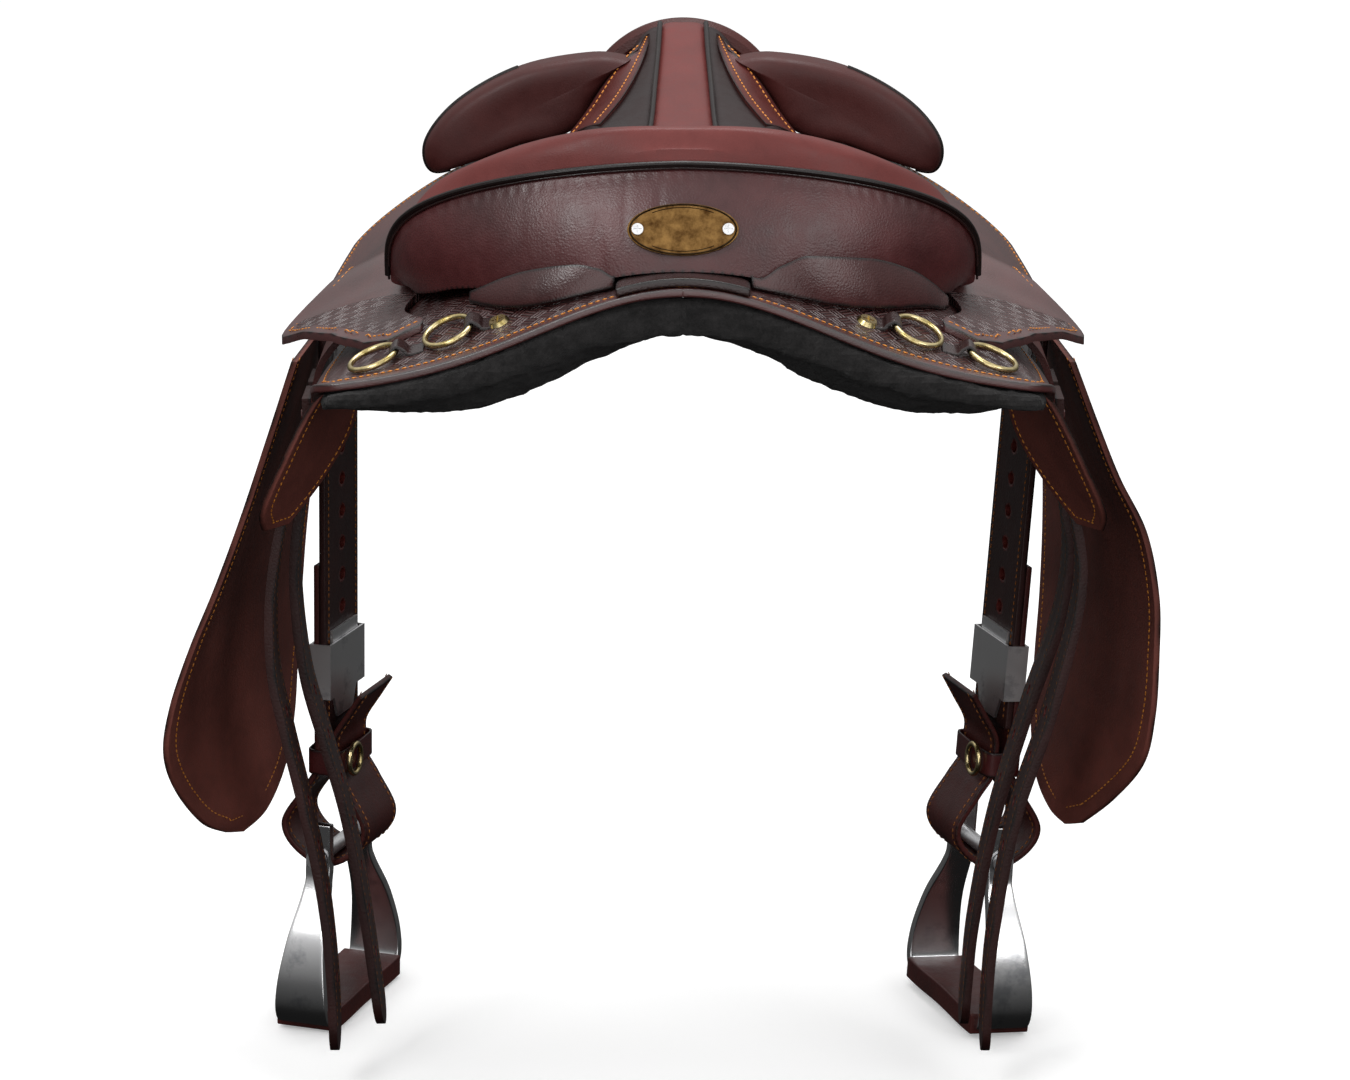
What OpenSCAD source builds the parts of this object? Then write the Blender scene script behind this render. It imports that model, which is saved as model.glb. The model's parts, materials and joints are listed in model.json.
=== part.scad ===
// Stock saddle with knee pads, square rear skirts, swinging stirrup leathers and girth points.
// X points to the right of the horse, Y forwards and Z up. The origin lies on the symmetry plane,
// midway along the seat, level with the underside of the gullet.

/* [Skirts and felt] */
// Width over the rear skirts
skirt_w = 438; // [420:2:456]
// Distance from the origin back to the rear edge of the skirts
skirt_rear = 300; // [292:2:320]
// Distance from the origin forward to the front edge of the skirts
skirt_front = 180; // [165:5:195]
// Height of the skirts on the centre line at the rear
skirt_rear_h = 48; // [44:1:52]
// Fall of the rear skirts from the centre line to the corner
skirt_rear_fall = 61; // [54:1:66]
// Height of the skirts on the centre line under the seat
skirt_mid_h = 40; // [37:1:43]
// Fall of the side leathers at the stirrup bars
side_fall = 102; // [98:1:108]
// Thickness of the skirt leather
skirt_t = 5; // [4:0.5:6]
// Thickness of the felt at its outer edge
felt_t = 9; // [7:1:12]
// Extra thickness in the middle of a felt cushion
felt_bulge = 32; // [26:1:34]
// Width of the channel between the felt panels
channel_w = 60; // [50:2:70]
// Thickness of the side jockeys
jockey_t = 5; // [4:0.5:6]
// Width of the jockeys over both tips
jockey_w = 496; // [488:2:502]

/* [Seat] */
// Width over the cantle
cantle_w = 356; // [340:2:364]
// Height of the cantle piping at the centre
cantle_h = 112; // [106:1:118]
// Height of the padded roll above the piping
cantle_roll = 19; // [15:1:22]
// Distance from the origin back to the cantle piping
cantle_rear = 245; // [238:1:252]
// Height of the lowest point of the seat
seat_low = 72; // [70:1:78]
// Height of the seat at the pommel
pommel_h = 133; // [126:1:138]
// Width of the seat at the pommel
pommel_w = 104; // [98:2:110]
// Thickness of the seat cover
cover_t = 3; // [2:0.5:3]
// Diameter of the piping cord
piping_d = 5; // [4:0.5:6]
// Thickness of the tree bars
bar_t = 14; // [12:1:15]
// Thickness of a knee pad
pad_t = 40; // [32:2:44]
// Height of the top edge of the knee pads
pad_h = 118; // [110:1:124]
// Width over both knee pads
pad_w = 344; // [330:2:352]

/* [Badge and dee rings] */
// Width of the oval badge
badge_w = 65; // [56:1:70]
// Height of the oval badge
badge_h = 31; // [26:1:34]
// Thickness of the badge plate
badge_t = 1.6; // [1.2:0.1:2]
// Outer diameter of a dee ring
ring_d = 33; // [29:1:35]
// Diameter of the dee ring wire
ring_wire = 3.6; // [3:0.2:4]

/* [Girth points and flaps] */
// Width of a girth point
girth_w = 38; // [34:1:40]
// Thickness of a girth point
girth_t = 5.5; // [4.5:0.5:6]
// Length of a girth point below its stud
girth_len = 425; // [400:5:440]
// Diameter of the punched holes
hole_d = 7; // [6:0.5:8]
// Distance between the punched holes of a girth point
girth_pitch = 30; // [26:1:32]
// Thickness of a sweat flap
flap_t = 4; // [3:0.5:5]
// Thickness of a fender
fender_t = 4; // [3:0.5:5]

/* [Stirrup leathers] */
// Width of a stirrup leather
strap_w = 58; // [52:1:60]
// Thickness of a stirrup leather
strap_t = 5; // [4:0.5:6]
// Distance between the punched holes of a stirrup leather
strap_pitch = 22; // [20:1:24]
// Inward lean of the left leather
lean_left = -1; // [-3:0.5:2]
// Inward lean of the right leather
lean_right = 4.5; // [2:0.5:6]
// Turn of the leathers about the vertical
yaw = 18; // [14:1:20]
// Height of the buckle sleeve
sleeve_h = 38; // [32:1:42]
// Wall of the buckle sleeve
sleeve_wall = 1.4; // [1:0.2:2]

/* [Stirrups] */
// Clear width of the stirrup over the tread
foot_w = 127; // [118:1:132]
// Distance from the stirrup bolt down to the tread
foot_h = 102; // [96:1:108]
// Width of the branch at the top
branch_top_w = 18; // [15:1:22]
// Width of the branch at the tread
branch_low_w = 37; // [32:1:40]
// Thickness of the branches
branch_t = 7; // [6:0.5:8]
// Thickness of the tread
tread_t = 9; // [8:1:11]
// Diameter of the stirrup bolt
bolt_d = 10; // [8:1:11]
// Thickness of the tread cover
tread_cover_t = 2.5; // [2:0.5:3]

/* [Hidden] */

$fn = 48;
seat_gap = 0.3;     // clearance between pieces that lie on each other
drape_gap = 0.9;    // clearance between curved sheets, whose facets differ
left = -1;
right = 1;

// Colours
dark_leather = "#4a2522";
mid_leather = "#5f2f28";
light_leather = "#8a4038";
black_leather = "#1d1716";
felt_black = "#191a1b";
brass = "#b08d4c";
steel = "#b9bcc0";
aluminium = "#cfd2d6";

// ---------------------------------------------------------------- curves

function mix(a, b, t) = a + (b - a) * t;
function smooth(t) = let(c = min(max(t, 0), 1)) c * c * (3 - 2 * c);

// Point at t = 0..1 of the smooth curve through the points p
function spline_at(p, t) =
    let(n = len(p) - 1, s = min(max(t, 0), 1) * n, i = min(floor(s), n - 1), f = s - i)
    let(a = p[max(i - 1, 0)], b = p[i], c = p[i + 1], d = p[min(i + 2, n)])
    b + (c - a) * f / 2 + (2 * a - 5 * b + 4 * c - d) * f * f / 2
      + (3 * (b - c) + d - a) * f * f * f / 2;
function spline(p, steps) = [for (i = [0:steps]) spline_at(p, i / steps)];

// Value at x of the smooth curve through a table of [x, value] pairs
function table_index(p, x) = let(k = [for (i = [0:len(p) - 2]) if (x >= p[i].x) i]) len(k) == 0 ? 0 : max(k);
function table(p, x) =
    let(i = table_index(p, x), u = min(max((x - p[i].x) / (p[i + 1].x - p[i].x), 0), 1))
    spline_at([for (q = p) q.y], (i + u) / (len(p) - 1));

// ---------------------------------------------------------------- solids from points

function flip(faces, turn) = turn ? [for (f = faces) [f[2], f[1], f[0]]] : faces;

// Closed sheet between two grids of points that have the same rows and columns
module sheet(upper, lower) {
    rows = len(upper) - 1;
    cols = len(upper[0]) - 1;
    n = (rows + 1) * (cols + 1);
    id = function(i, j) i * (cols + 1) + j;
    rim = concat([for (i = [0:rows - 1]) id(i, 0)], [for (j = [0:cols - 1]) id(rows, j)],
                 [for (i = [rows:-1:1]) id(i, cols)], [for (j = [cols:-1:1]) id(0, j)]);
    tops = [for (i = [0:rows - 1]) for (j = [0:cols - 1])
        each [[id(i, j), id(i, j + 1), id(i + 1, j + 1)], [id(i, j), id(i + 1, j + 1), id(i + 1, j)]]];
    bottoms = [for (f = tops) [n + f[2], n + f[1], n + f[0]]];
    sides = [for (k = [0:len(rim) - 1]) let(a = rim[k], b = rim[(k + 1) % len(rim)])
        each [[a, b, n + b], [a, n + b, n + a]]];
    mi = floor(rows / 2);
    mj = floor(cols / 2);
    along = upper[min(mi + 1, rows)][mj] - upper[max(mi - 1, 0)][mj];
    across = upper[mi][min(mj + 1, cols)] - upper[mi][max(mj - 1, 0)];
    turned = cross(along, across) * (upper[mi][mj] - lower[mi][mj]) < 0;
    polyhedron(concat([for (r = upper) each r], [for (r = lower) each r]),
               flip(concat(tops, bottoms, sides), turned), convexity = 8);
}

// Closed skin over a row of rings that have the same number of points
module loft(rings) {
    m = len(rings[0]);
    last = len(rings) - 1;
    mid = function(r) [for (k = [0:2]) [for (p = r) p[k]] * [for (p = r) 1] / len(r)];
    points = concat([for (r = rings) each r], [mid(rings[0]), mid(rings[last])]);
    start = (last + 1) * m;
    walls = [for (i = [0:last - 1]) for (j = [0:m - 1]) let(k = (j + 1) % m)
        each [[i * m + j, (i + 1) * m + j, (i + 1) * m + k], [i * m + j, (i + 1) * m + k, i * m + k]]];
    caps = [for (j = [0:m - 1]) let(k = (j + 1) % m)
        each [[start, j, k], [start + 1, last * m + k, last * m + j]]];
    ring = rings[floor(last / 2)];
    next = rings[floor(last / 2) + 1];
    turned = cross(ring[1] - ring[0], next[0] - ring[0]) * (ring[0] - mid(ring)) < 0;
    polyhedron(points, flip(concat(walls, caps), turned), convexity = 8);
}

// Round cord along a path, with its rings square to the path
module cord_along(path, d, sides = 8) {
    n = len(path) - 1;
    unit = function(v) v / norm(v);
    loft([for (i = [0:n])
        let(t = unit(path[min(i + 1, n)] - path[max(i - 1, 0)]))
        let(ref = abs(t.z) < 0.9 ? [0, 0, 1] : [0, 1, 0], a = unit(cross(t, ref)), b = cross(t, a))
        [for (k = [0:sides - 1]) path[i] + d / 2 * (a * cos(360 * k / sides) + b * sin(360 * k / sides))]]);
}

// Leather band: a path in the XZ plane with a thickness, as wide as w along Y
function side_of(p, i) = let(d = p[min(i + 1, len(p) - 1)] - p[max(i - 1, 0)]) [-d.y, d.x] / norm(d);
function band_outline(p, t) = concat(
    [for (i = [0:len(p) - 1]) p[i] + side_of(p, i) * t / 2],
    [for (i = [len(p) - 1:-1:0]) p[i] - side_of(p, i) * t / 2]);
module band(path, t, w) {
    rotate([90, 0, 0]) translate([0, 0, -w / 2]) linear_extrude(w) polygon(band_outline(path, t));
}

module on_side(side) { mirror([side < 0 ? 1 : 0, 0, 0]) children(); }

// ---------------------------------------------------------------- the back of the horse

rear_bend = 120;
bar_flat = 60;
side_reach = 190;
blend_run = 92;
corner_x = skirt_w / 2;

function rear_height(x) = skirt_rear_h - skirt_rear_fall * (1 - exp(-pow(x / rear_bend, 2)));
function mid_height(x) = skirt_mid_h - side_fall * pow(max(abs(x) - bar_flat, 0) / side_reach, 2);
// Height of the top of the skirts
function deck(x, y) = mix(rear_height(x), mid_height(x), smooth((y + skirt_rear) / blend_run));
function deck_slope_x(x, y) = atan(deck(x - 1, y) / 2 - deck(x + 1, y) / 2);
function deck_slope_y(x, y) = atan(deck(x, y + 1) / 2 - deck(x, y - 1) / 2);
function on_deck(p, lift) = [p.x, p.y, deck(p.x, p.y) + lift];

// Grid of plan points between an inner and an outer curve
function plan_grid(inner, outer, cols) =
    [for (i = [0:len(inner) - 1]) [for (j = [0:cols]) mix(inner[i], outer[i], j / cols)]];
function lifted(grid, lift) = [for (row = grid) [for (p = row) on_deck(p, lift)]];

module lie_on_deck(x, y, lift = 0) {
    translate([x, y, deck(x, y) + lift]) rotate([deck_slope_y(x, y), 0, 0]) rotate([0, deck_slope_x(x, y), 0])
        children();
}

// ---------------------------------------------------------------- skirts and felt

skirt_edge = [[-skirt_rear, corner_x - 4], [-skirt_rear + 30, corner_x], [-180, corner_x + 3],
              [-120, corner_x - 8], [-60, 196], [0, 186], [90, 178], [skirt_front, 170]];
function skirt_edge_at(y) = table(skirt_edge, y);
blend_end = blend_run - skirt_rear;
skirt_ys = concat([for (i = [0:7]) mix(-skirt_rear, blend_end, i / 8)],
                  [for (i = [0:10]) mix(blend_end, skirt_front, i / 10)]);

module skirt() {
    inner = [for (y = skirt_ys) [seat_gap, y]];
    outer = [for (y = skirt_ys) [skirt_edge_at(y), y + 10 * smooth((-y - 250) / 50)]];
    grid = plan_grid(inner, outer, 12);
    sheet(lifted(grid, 0), lifted(grid, -skirt_t));
}

channel_run = 90;
felt_inset = 5;
function channel_at(y) = mix(seat_gap, channel_w / 2, smooth((y + skirt_rear) / channel_run));
function felt_edge_at(y) = skirt_edge_at(y) - felt_inset - 24 * smooth((y + 235) / 60);
felt_back_y = -skirt_rear + 2;
felt_front_y = skirt_front - 12;
felt_ys = concat([felt_back_y], [for (y = skirt_ys) if (y > felt_back_y && y < felt_front_y) y], [felt_front_y]);
felt_in_t = 24;         // thickness of the felt beside the channel
felt_run = 50;          // how far in from the rear edge the pads reach their full bulge
function felt_lift(u, y) =
    -skirt_t - drape_gap - mix(felt_in_t, felt_t, u)
    - felt_bulge * smooth((y + skirt_rear) / felt_run) * pow(sin(180 * u), 1.3);

module felt_panel() {
    grid = plan_grid([for (y = felt_ys) [channel_at(y), y]], [for (y = felt_ys) [felt_edge_at(y), y]], 12);
    lower = [for (row = grid) [for (j = [0:12]) on_deck(row[j], felt_lift(j / 12, row[j].y))]];
    sheet(lifted(grid, -skirt_t - drape_gap), lower);
}

tab_w = 78;
tab_l = 34;
tab_t = 5;
module skirt_join_tab() {
    xs = [for (i = [0:8]) mix(-tab_w / 2, tab_w / 2, i / 8)];
    grid = plan_grid([for (x = xs) [x, -skirt_rear + 2]], [for (x = xs) [x, -skirt_rear + 2 + tab_l]], 3);
    color(dark_leather) sheet(lifted(grid, drape_gap + tab_t), lifted(grid, drape_gap));
}

// ---------------------------------------------------------------- seat

seat_half = cantle_w / 2;
rim_turn = -150;                        // where the cantle piping turns down at its ends
rim_run = cantle_rear + rim_turn;       // depth of the cantle curve in plan
rim_low = 42;
function rim_height(c) = rim_low + (cantle_h - rim_low) * pow(max(c, 0), 0.6);
function rim_point(a) = [seat_half * sin(a), rim_turn - rim_run * cos(a), rim_height(cos(a))];

seat_width = [[-150, seat_half], [-120, seat_half - 2], [-80, 160], [-40, 134], [0, 111], [50, 90],
              [100, 68], [150, 54], [200, pommel_w / 2]];
seat_line = [[-243, cantle_h + 8], [-235, cantle_h + cantle_roll], [-222, cantle_h + cantle_roll - 2],
             [-200, 117], [-170, 99], [-120, seat_low + 9], [-60, seat_low], [0, seat_low + 5], [50, 88],
             [100, 104], [150, 121], [190, pommel_h], [202, pommel_h - 2]];
function seat_half_at(y) =
    y < rim_turn ? seat_half * sqrt(max(1 - pow((y - rim_turn) / rim_run, 2), 0)) : table(seat_width, y);
steel_t = 3;                            // thickness of the stirrup bar plates
stack = bar_t + steel_t + 4 * seat_gap; // from the skirts up to the jockeys, where the tree lies between
function jockey_lift(y) = seat_gap + (stack - seat_gap) * smooth((y + 125) / 50);
pommel_edge = 68;
function seat_edge_at(y) =
    let(rim = rim_height(min(max((rim_turn - y) / rim_run, 0), 1)))
    let(low = deck(seat_half_at(y), y) + jockey_lift(y) + jockey_t + drape_gap + cover_t)
    y < rim_turn ? rim : mix(mix(rim, low, smooth((y - rim_turn) / 80)), pommel_edge, smooth((y - 60) / 140));
function seat_top(x, y) =
    let(u = min(abs(x) / max(seat_half_at(y), 1), 1), p = mix(4, 3.1, smooth((y + 200) / 120)))
    mix(table(seat_line, y), seat_edge_at(y), pow(u, p));

seat_ys = concat([-243, -240, -235, -228, -220, -208, -195, -184, -174, -165, -158, -153, -150, -140],
                 [for (i = [0:15]) mix(-126, 196, i / 15)]);
seat_cols = 16;
function seat_grid(drop, inset) =
    [for (y = seat_ys) [for (j = [0:seat_cols])
        let(u = 2 * j / seat_cols - 1, x = u * max(seat_half_at(y) - inset, 2))
        [x, y, seat_top(u * seat_half_at(y), y) - drop]]];

module seat_cover() { color(light_leather) sheet(seat_grid(0, 0), seat_grid(cover_t, 0)); }

foam_front = 148;
foam_ys = [for (y = seat_ys) if (y > -196 && y < foam_front) y];
webbing_t = 2;
foam_min_t = 2;
foam_cols = seat_cols - 4;
module seat_foam() {
    place = function(y, j) [(2 * j - foam_cols) / seat_cols * seat_half_at(y), y];
    low = [for (y = foam_ys) [for (j = [0:foam_cols]) on_deck(place(y, j), stack)]];
    high = [for (y = foam_ys) [for (j = [0:foam_cols])
        let(p = place(y, j), base = deck(p.x, p.y) + stack + foam_min_t)
        [p.x, p.y, max(seat_top(p.x, p.y) - cover_t - seat_gap, base)]]];
    color("#d8cfa8") sheet(high, low);
}

strip_half = [[-60, 34], [0, 26], [50, 22.5], [100, 20.5], [150, 19], [190, 18]];
module seat_piping() {
    color(black_leather)
        for (side = [left, right])
            cord_along([for (i = [0:16]) let(y = mix(-60, 190, i / 16), x = side * table(strip_half, y))
                [x, y, seat_top(x, y) + piping_d / 2 + 2 * seat_gap]], piping_d);
}

// ---------------------------------------------------------------- cantle

cantle_foot_x = 164;
cantle_foot_y = 122;
cantle_back_t = 4;
rear_jockey_t = 5;
side_end = -120;        // how far forward the cantle back runs along the seat
lip_from = 16;          // where a rear jockey starts and ends round the cantle
lip_to = 76;
function cantle_foot(a, grow = 0) = [(cantle_foot_x + grow) * sin(a), rim_turn - (cantle_foot_y + grow) * cos(a)];
// Stations of the cantle back: up to 90 degrees round the cantle, then forward along the seat
side_step = 2.6;
function side_y(a) = rim_turn + (abs(a) - 90) * side_step;
function cantle_top(a) =
    abs(a) <= 90 ? rim_point(a) - [0, 0, cover_t + seat_gap]
    : let(y = side_y(a)) [sign(a) * seat_half_at(y), y, seat_edge_at(y) - cover_t - seat_gap];
function cantle_side(a) = [sign(a) * (seat_half_at(side_y(a)) - seat_half + cantle_foot_x), side_y(a)];
function cantle_low(a) =
    let(foot = abs(a) <= 90 ? cantle_foot(a) : cantle_side(a))
    let(high = deck(abs(foot.x) - cantle_back_t, foot.y + cantle_back_t))
    let(under = max(rear_jockey_t + drape_gap, jockey_lift(foot.y) + jockey_t))
    [foot.x, foot.y, high + under + drape_gap];
function cantle_point(a, v, inward) =
    let(round_a = sign(a) * min(abs(a), 90), out = [sin(round_a), -cos(round_a), 0])
    mix(cantle_top(a), cantle_low(a), v) + out * (4 * sin(180 * v) - inward);

module cantle_back() {
    half = [for (y = seat_ys) if (y < side_end)
        y < rim_turn ? acos((rim_turn - y) / rim_run) : 90 + (y - rim_turn) / side_step];
    angles = concat([for (i = [len(half) - 1:-1:0]) -half[i]], [0], half);
    outer = [for (a = angles) [for (j = [0:7]) cantle_point(a, j / 7, 0)]];
    inner = [for (a = angles) [for (j = [0:7]) cantle_point(a, j / 7, cantle_back_t)]];
    color(mid_leather) difference() {
        sheet(outer, inner);
        on_badge() for (side = [left, right])
            translate([side * screw_x, 0, -shank_in - 1]) cylinder(r = shank_r + shank_clear, h = shank_in + 2);
    }
}

module cantle_piping() {
    color(black_leather)
        cord_along([for (i = [0:40]) let(a = mix(-90, 90, i / 40))
            rim_point(a) + [sin(a), -cos(a), 0] * (piping_d / 2 + seat_gap)], piping_d);
}

module rear_jockey() {
    steps = 14;
    angles = [for (i = [0:steps]) mix(lip_from, lip_to, i / steps)];
    inner = [for (a = angles) cantle_foot(a, -10)];
    outer = [for (i = [0:steps]) cantle_foot(angles[i], 3 + 9 * sin(180 * i / steps))];
    grid = plan_grid(inner, outer, 5);
    color(dark_leather) sheet(lifted(grid, drape_gap + rear_jockey_t), lifted(grid, drape_gap));
}

// ---------------------------------------------------------------- tree

bar_in = 34;
bar_out = 126;
arch_r = 36;
arch_z = 22;
arch_y = 152;
bar_rear = -196;
bar_front = 170;
arch_l = 30;
arch_wall = 3;
arch_half = 47;
module tree() {
    ys = [for (i = [0:12]) mix(bar_rear, bar_front, i / 12)];
    bar = plan_grid([for (y = ys) [bar_in, y]], [for (y = ys) [bar_out, y]], 6);
    color("#7a5a3a") {
        for (side = [left, right])
            on_side(side) sheet(lifted(bar, seat_gap + bar_t), lifted(bar, seat_gap));
        translate([0, -196, 0]) rotate([90, 0, 0]) linear_extrude(8)
            polygon([[-100, 50], [100, 50], [96, 70], [70, 96], [0, 104], [-70, 96], [-96, 70]]);
        difference() {
            translate([0, arch_y + arch_l, 0]) rotate([90, 0, 0]) linear_extrude(arch_l)
                polygon([[-arch_half, 46], [arch_half, 46], [43, 72], [32, 92], [0, 104], [-32, 92], [-43, 72]]);
            translate([0, arch_y - 1, arch_z]) rotate([-90, 0, 0])
                cylinder(r = arch_r + arch_wall + seat_gap, h = arch_l + 2);
        }
    }
}

module gullet_plate() {
    color(steel) translate([0, arch_y, arch_z]) rotate([-90, 0, 0]) difference() {
        cylinder(r = arch_r + arch_wall, h = arch_l);
        translate([0, 0, -1]) cylinder(r = arch_r, h = arch_l + 2);
        translate([-2 * arch_r, -24, -1]) cube([4 * arch_r, 3 * arch_r, arch_l + 2]);
    }
}

module seat_webbing() {
    color("#b9ad8c")
        for (y = [-120, -70, -20]) {
            xs = [for (i = [0:12]) mix(-92, 92, i / 12)];
            grid = plan_grid([for (x = xs) [x, y]], [for (x = xs) [x, y + 38]], 2);
            sheet(lifted(grid, bar_t + 2 * seat_gap + webbing_t), lifted(grid, bar_t + 2 * seat_gap));
        }
}

// ---------------------------------------------------------------- pommel and knee pads

roll_r = 9;
roll_arc_r = 62;
roll_half_angle = 55;
seat_face_y = 196;
cap_y = seat_face_y + seat_gap + roll_r;
cap_t = 6;
module pommel_cap() {
    top = pommel_h + 2 - roll_r - roll_arc_r;
    color(dark_leather) {
        translate([0, cap_y, top]) rotate([90, 0, 0]) rotate([0, 0, 90 - roll_half_angle])
            rotate_extrude(angle = 2 * roll_half_angle) translate([roll_arc_r, 0]) circle(roll_r);
        translate([0, cap_y + cap_t / 2, 0]) rotate([90, 0, 0]) linear_extrude(cap_t) difference() {
            polygon([[-50, 46], [50, 46], [50, 100], [36, 112], [0, pommel_h - 12], [-36, 112], [-50, 100]]);
            translate([0, arch_z]) circle(arch_r + arch_wall);
        }
    }
}

pad_y = 150;
pad_clear = 1.5;
function pad_foot(x) = [x, deck(x, pad_y) + stack + jockey_t + pad_clear];
pad_outline = [[34, pad_h - 2], [60, pad_h + 1], [108, pad_h - 8], [150, pad_h - 31], [pad_w / 2, 60],
               [pad_w / 2 - 4, 40], pad_foot(142), pad_foot(108), pad_foot(84), [65, 74], [57, 90], [46, 106]];
pad_middle = [104, 82];
pad_layers = [[-1, 0.55], [-0.86, 0.86], [-0.5, 0.97], [0, 1], [0.5, 0.97], [0.86, 0.86], [1, 0.55]];
function closed(p) = concat(p, [p[0]]);
module knee_pad() {
    rim = [for (i = [0:35]) spline_at(closed(pad_outline), i / 36)];
    color(dark_leather) loft([for (l = pad_layers)
        [for (p = rim) let(q = mix(pad_middle, p, l[1])) [q.x, pad_y + l[0] * pad_t / 2, q.y]]]);
}

jockey_half = jockey_w / 2;
jockey_rear = -240;
jockey_front = 165;
jockey_edge = [[jockey_rear, jockey_half - 70], [-225, jockey_half - 58], [-185, jockey_half - 36],
               [-150, jockey_half - 16], [-125, jockey_half - 3], [-112, jockey_half - 1], [-98, jockey_half - 23],
               [-82, jockey_half - 36], [-50, jockey_half - 26], [0, jockey_half - 3], [60, jockey_half],
               [115, jockey_half - 8], [jockey_front, jockey_half - 25]];
// Inner edge beside the cantle, outside the rear jockeys
jockey_inner = [[jockey_rear, 152], [-215, 162], [-180, 168], [-150, 161], [-118, 138]];
// How much the stiff rear of a jockey stands off the skirt below it, most at its tip
jockey_flare = 35;
function jockey_rise(p) =
    jockey_lift(p.y) + jockey_flare * smooth((p.x - 172) / 75) * smooth((p.y - jockey_rear) / 100)
        * (1 - smooth((p.y + 100) / 100));
module seat_jockey() {
    ys = [for (i = [0:32]) mix(jockey_rear, jockey_front, i / 32)];
    inner = [for (y = ys) [y < -118 ? table(jockey_inner, y)
                           : max(min(seat_half_at(y) - 12, bar_out + 12), arch_half + 1), y]];
    grid = plan_grid(inner, [for (y = ys) [table(jockey_edge, y), y]], 10);
    color(dark_leather) sheet([for (row = grid) [for (p = row) on_deck(p, jockey_rise(p) + jockey_t)]],
                              [for (row = grid) [for (p = row) on_deck(p, jockey_rise(p))]]);
}

// ---------------------------------------------------------------- badge, screws and dee rings

badge_at = 0.58;        // share of the way down the cantle back
screw_x = badge_w / 2 - 6;
screw_r = 3.4;
screw_h = 1.2;
shank_r = 1.5;
shank_clear = 0.2;
shank_in = 7;           // how far the shanks reach in behind the badge
module on_badge() {
    p = cantle_point(0, badge_at, 0);
    along = cantle_point(0, badge_at + 0.1, 0) - cantle_point(0, badge_at - 0.1, 0);
    tilt = atan(along.y / along.z);
    translate([p.x, p.y - seat_gap, p.z]) rotate([90 - tilt, 0, 0]) children();
}
module badge_plate() {
    color(brass) on_badge() difference() {
        scale([badge_w / badge_h, 1, 1]) cylinder(d = badge_h, h = badge_t);
        for (side = [left, right])
            translate([side * screw_x, 0, -1]) cylinder(r = shank_r + shank_clear, h = badge_t + 2);
    }
}
module cross_slot(r, depth, w) {
    for (turn = [0, 90]) rotate([0, 0, turn]) translate([-r, -w / 2, -depth]) cube([2 * r, w, depth + 1]);
}
module badge_screws() {
    color(steel) on_badge() for (side = [left, right]) translate([side * screw_x, 0, 0]) difference() {
        union() {
            translate([0, 0, -shank_in]) cylinder(r = shank_r, h = shank_in + badge_t + seat_gap);
            translate([0, 0, badge_t + seat_gap]) cylinder(r = screw_r, h = screw_h);
        }
        translate([0, 0, badge_t + seat_gap + screw_h]) cross_slot(screw_r * 0.7, screw_h * 0.6, 0.8);
    }
}

skirt_screw_at = [108, -264];
module skirt_screws() {
    color(brass) for (side = [left, right]) on_side(side)
        lie_on_deck(skirt_screw_at.x, skirt_screw_at.y, seat_gap) difference() {
            cylinder(r1 = 6.5, r2 = 5, h = 2.4);
            translate([0, 0, 2.4]) cross_slot(3.5, 1.4, 1.1);
        }
}

ring_mid_r = (ring_d - ring_wire) / 2;
ring_pin_h = ring_wire / 2 + 3;             // height of the ring's hinge line above the skirt
ring_tilt = asin(0.9 / (2 * ring_mid_r));   // lets the free side rest on the skirt
ring_y = -262;
ring_inner_x = 139 - ring_mid_r;
ring_outer_x = 183 - ring_mid_r;
module dee_ring(x) {
    color(brass) lie_on_deck(x, ring_y, ring_pin_h) rotate([0, ring_tilt, 0]) translate([ring_mid_r, 0, 0])
        rotate_extrude() translate([ring_mid_r, 0]) circle(d = ring_wire, $fn = 24);
}

loop_w = 11;
loop_h = ring_pin_h + 4.8;
loop_hole_r = ring_wire / 2 + 1.6;
module dee_loops() {
    color(dark_leather) for (side = [left, right]) for (x = [ring_inner_x, ring_outer_x]) on_side(side)
        lie_on_deck(x, ring_y, seat_gap) difference() {
            translate([-loop_hole_r - 6, -loop_w / 2, 0]) cube([2 * loop_hole_r + 8, loop_w, loop_h]);
            translate([0, -loop_w, ring_pin_h - seat_gap]) rotate([-90, 0, 0])
                cylinder(r = loop_hole_r, h = 2 * loop_w, $fn = 32);
        }
}

// ---------------------------------------------------------------- girth points and sweat flaps

girth_stud_x = 231;
girth_stud_z = -78;
girth_rear_y = -74;
girth_front_y = -24;
web_t = 4;
stud_r = 3.6;
stud_clear = 0.3;
web_lift = 3.2;
web_in = 132;
web_out = 204;
girth_x = girth_stud_x + web_t / 2 + seat_gap + girth_t / 2;

module rigging_web() {
    over = [for (i = [0:4]) let(x = mix(web_in, web_out, i / 4)) [x, mid_height(x) + web_lift]];
    down = [[220, -32], [228, -46], [girth_stud_x, girth_stud_z + 14], [girth_stud_x, girth_stud_z - 12]];
    color(dark_leather) for (side = [left, right]) on_side(side) {
        translate([0, (girth_rear_y + girth_front_y) / 2, 0])
            band(spline(concat(over, down), 16), web_t, girth_front_y - girth_rear_y + girth_w);
        for (y = [girth_rear_y, girth_front_y])
            translate([girth_stud_x, y, girth_stud_z]) rotate([0, 90, 0])
                cylinder(r = stud_r, h = girth_x - girth_stud_x + girth_t / 2 + 2);
    }
}

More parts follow.
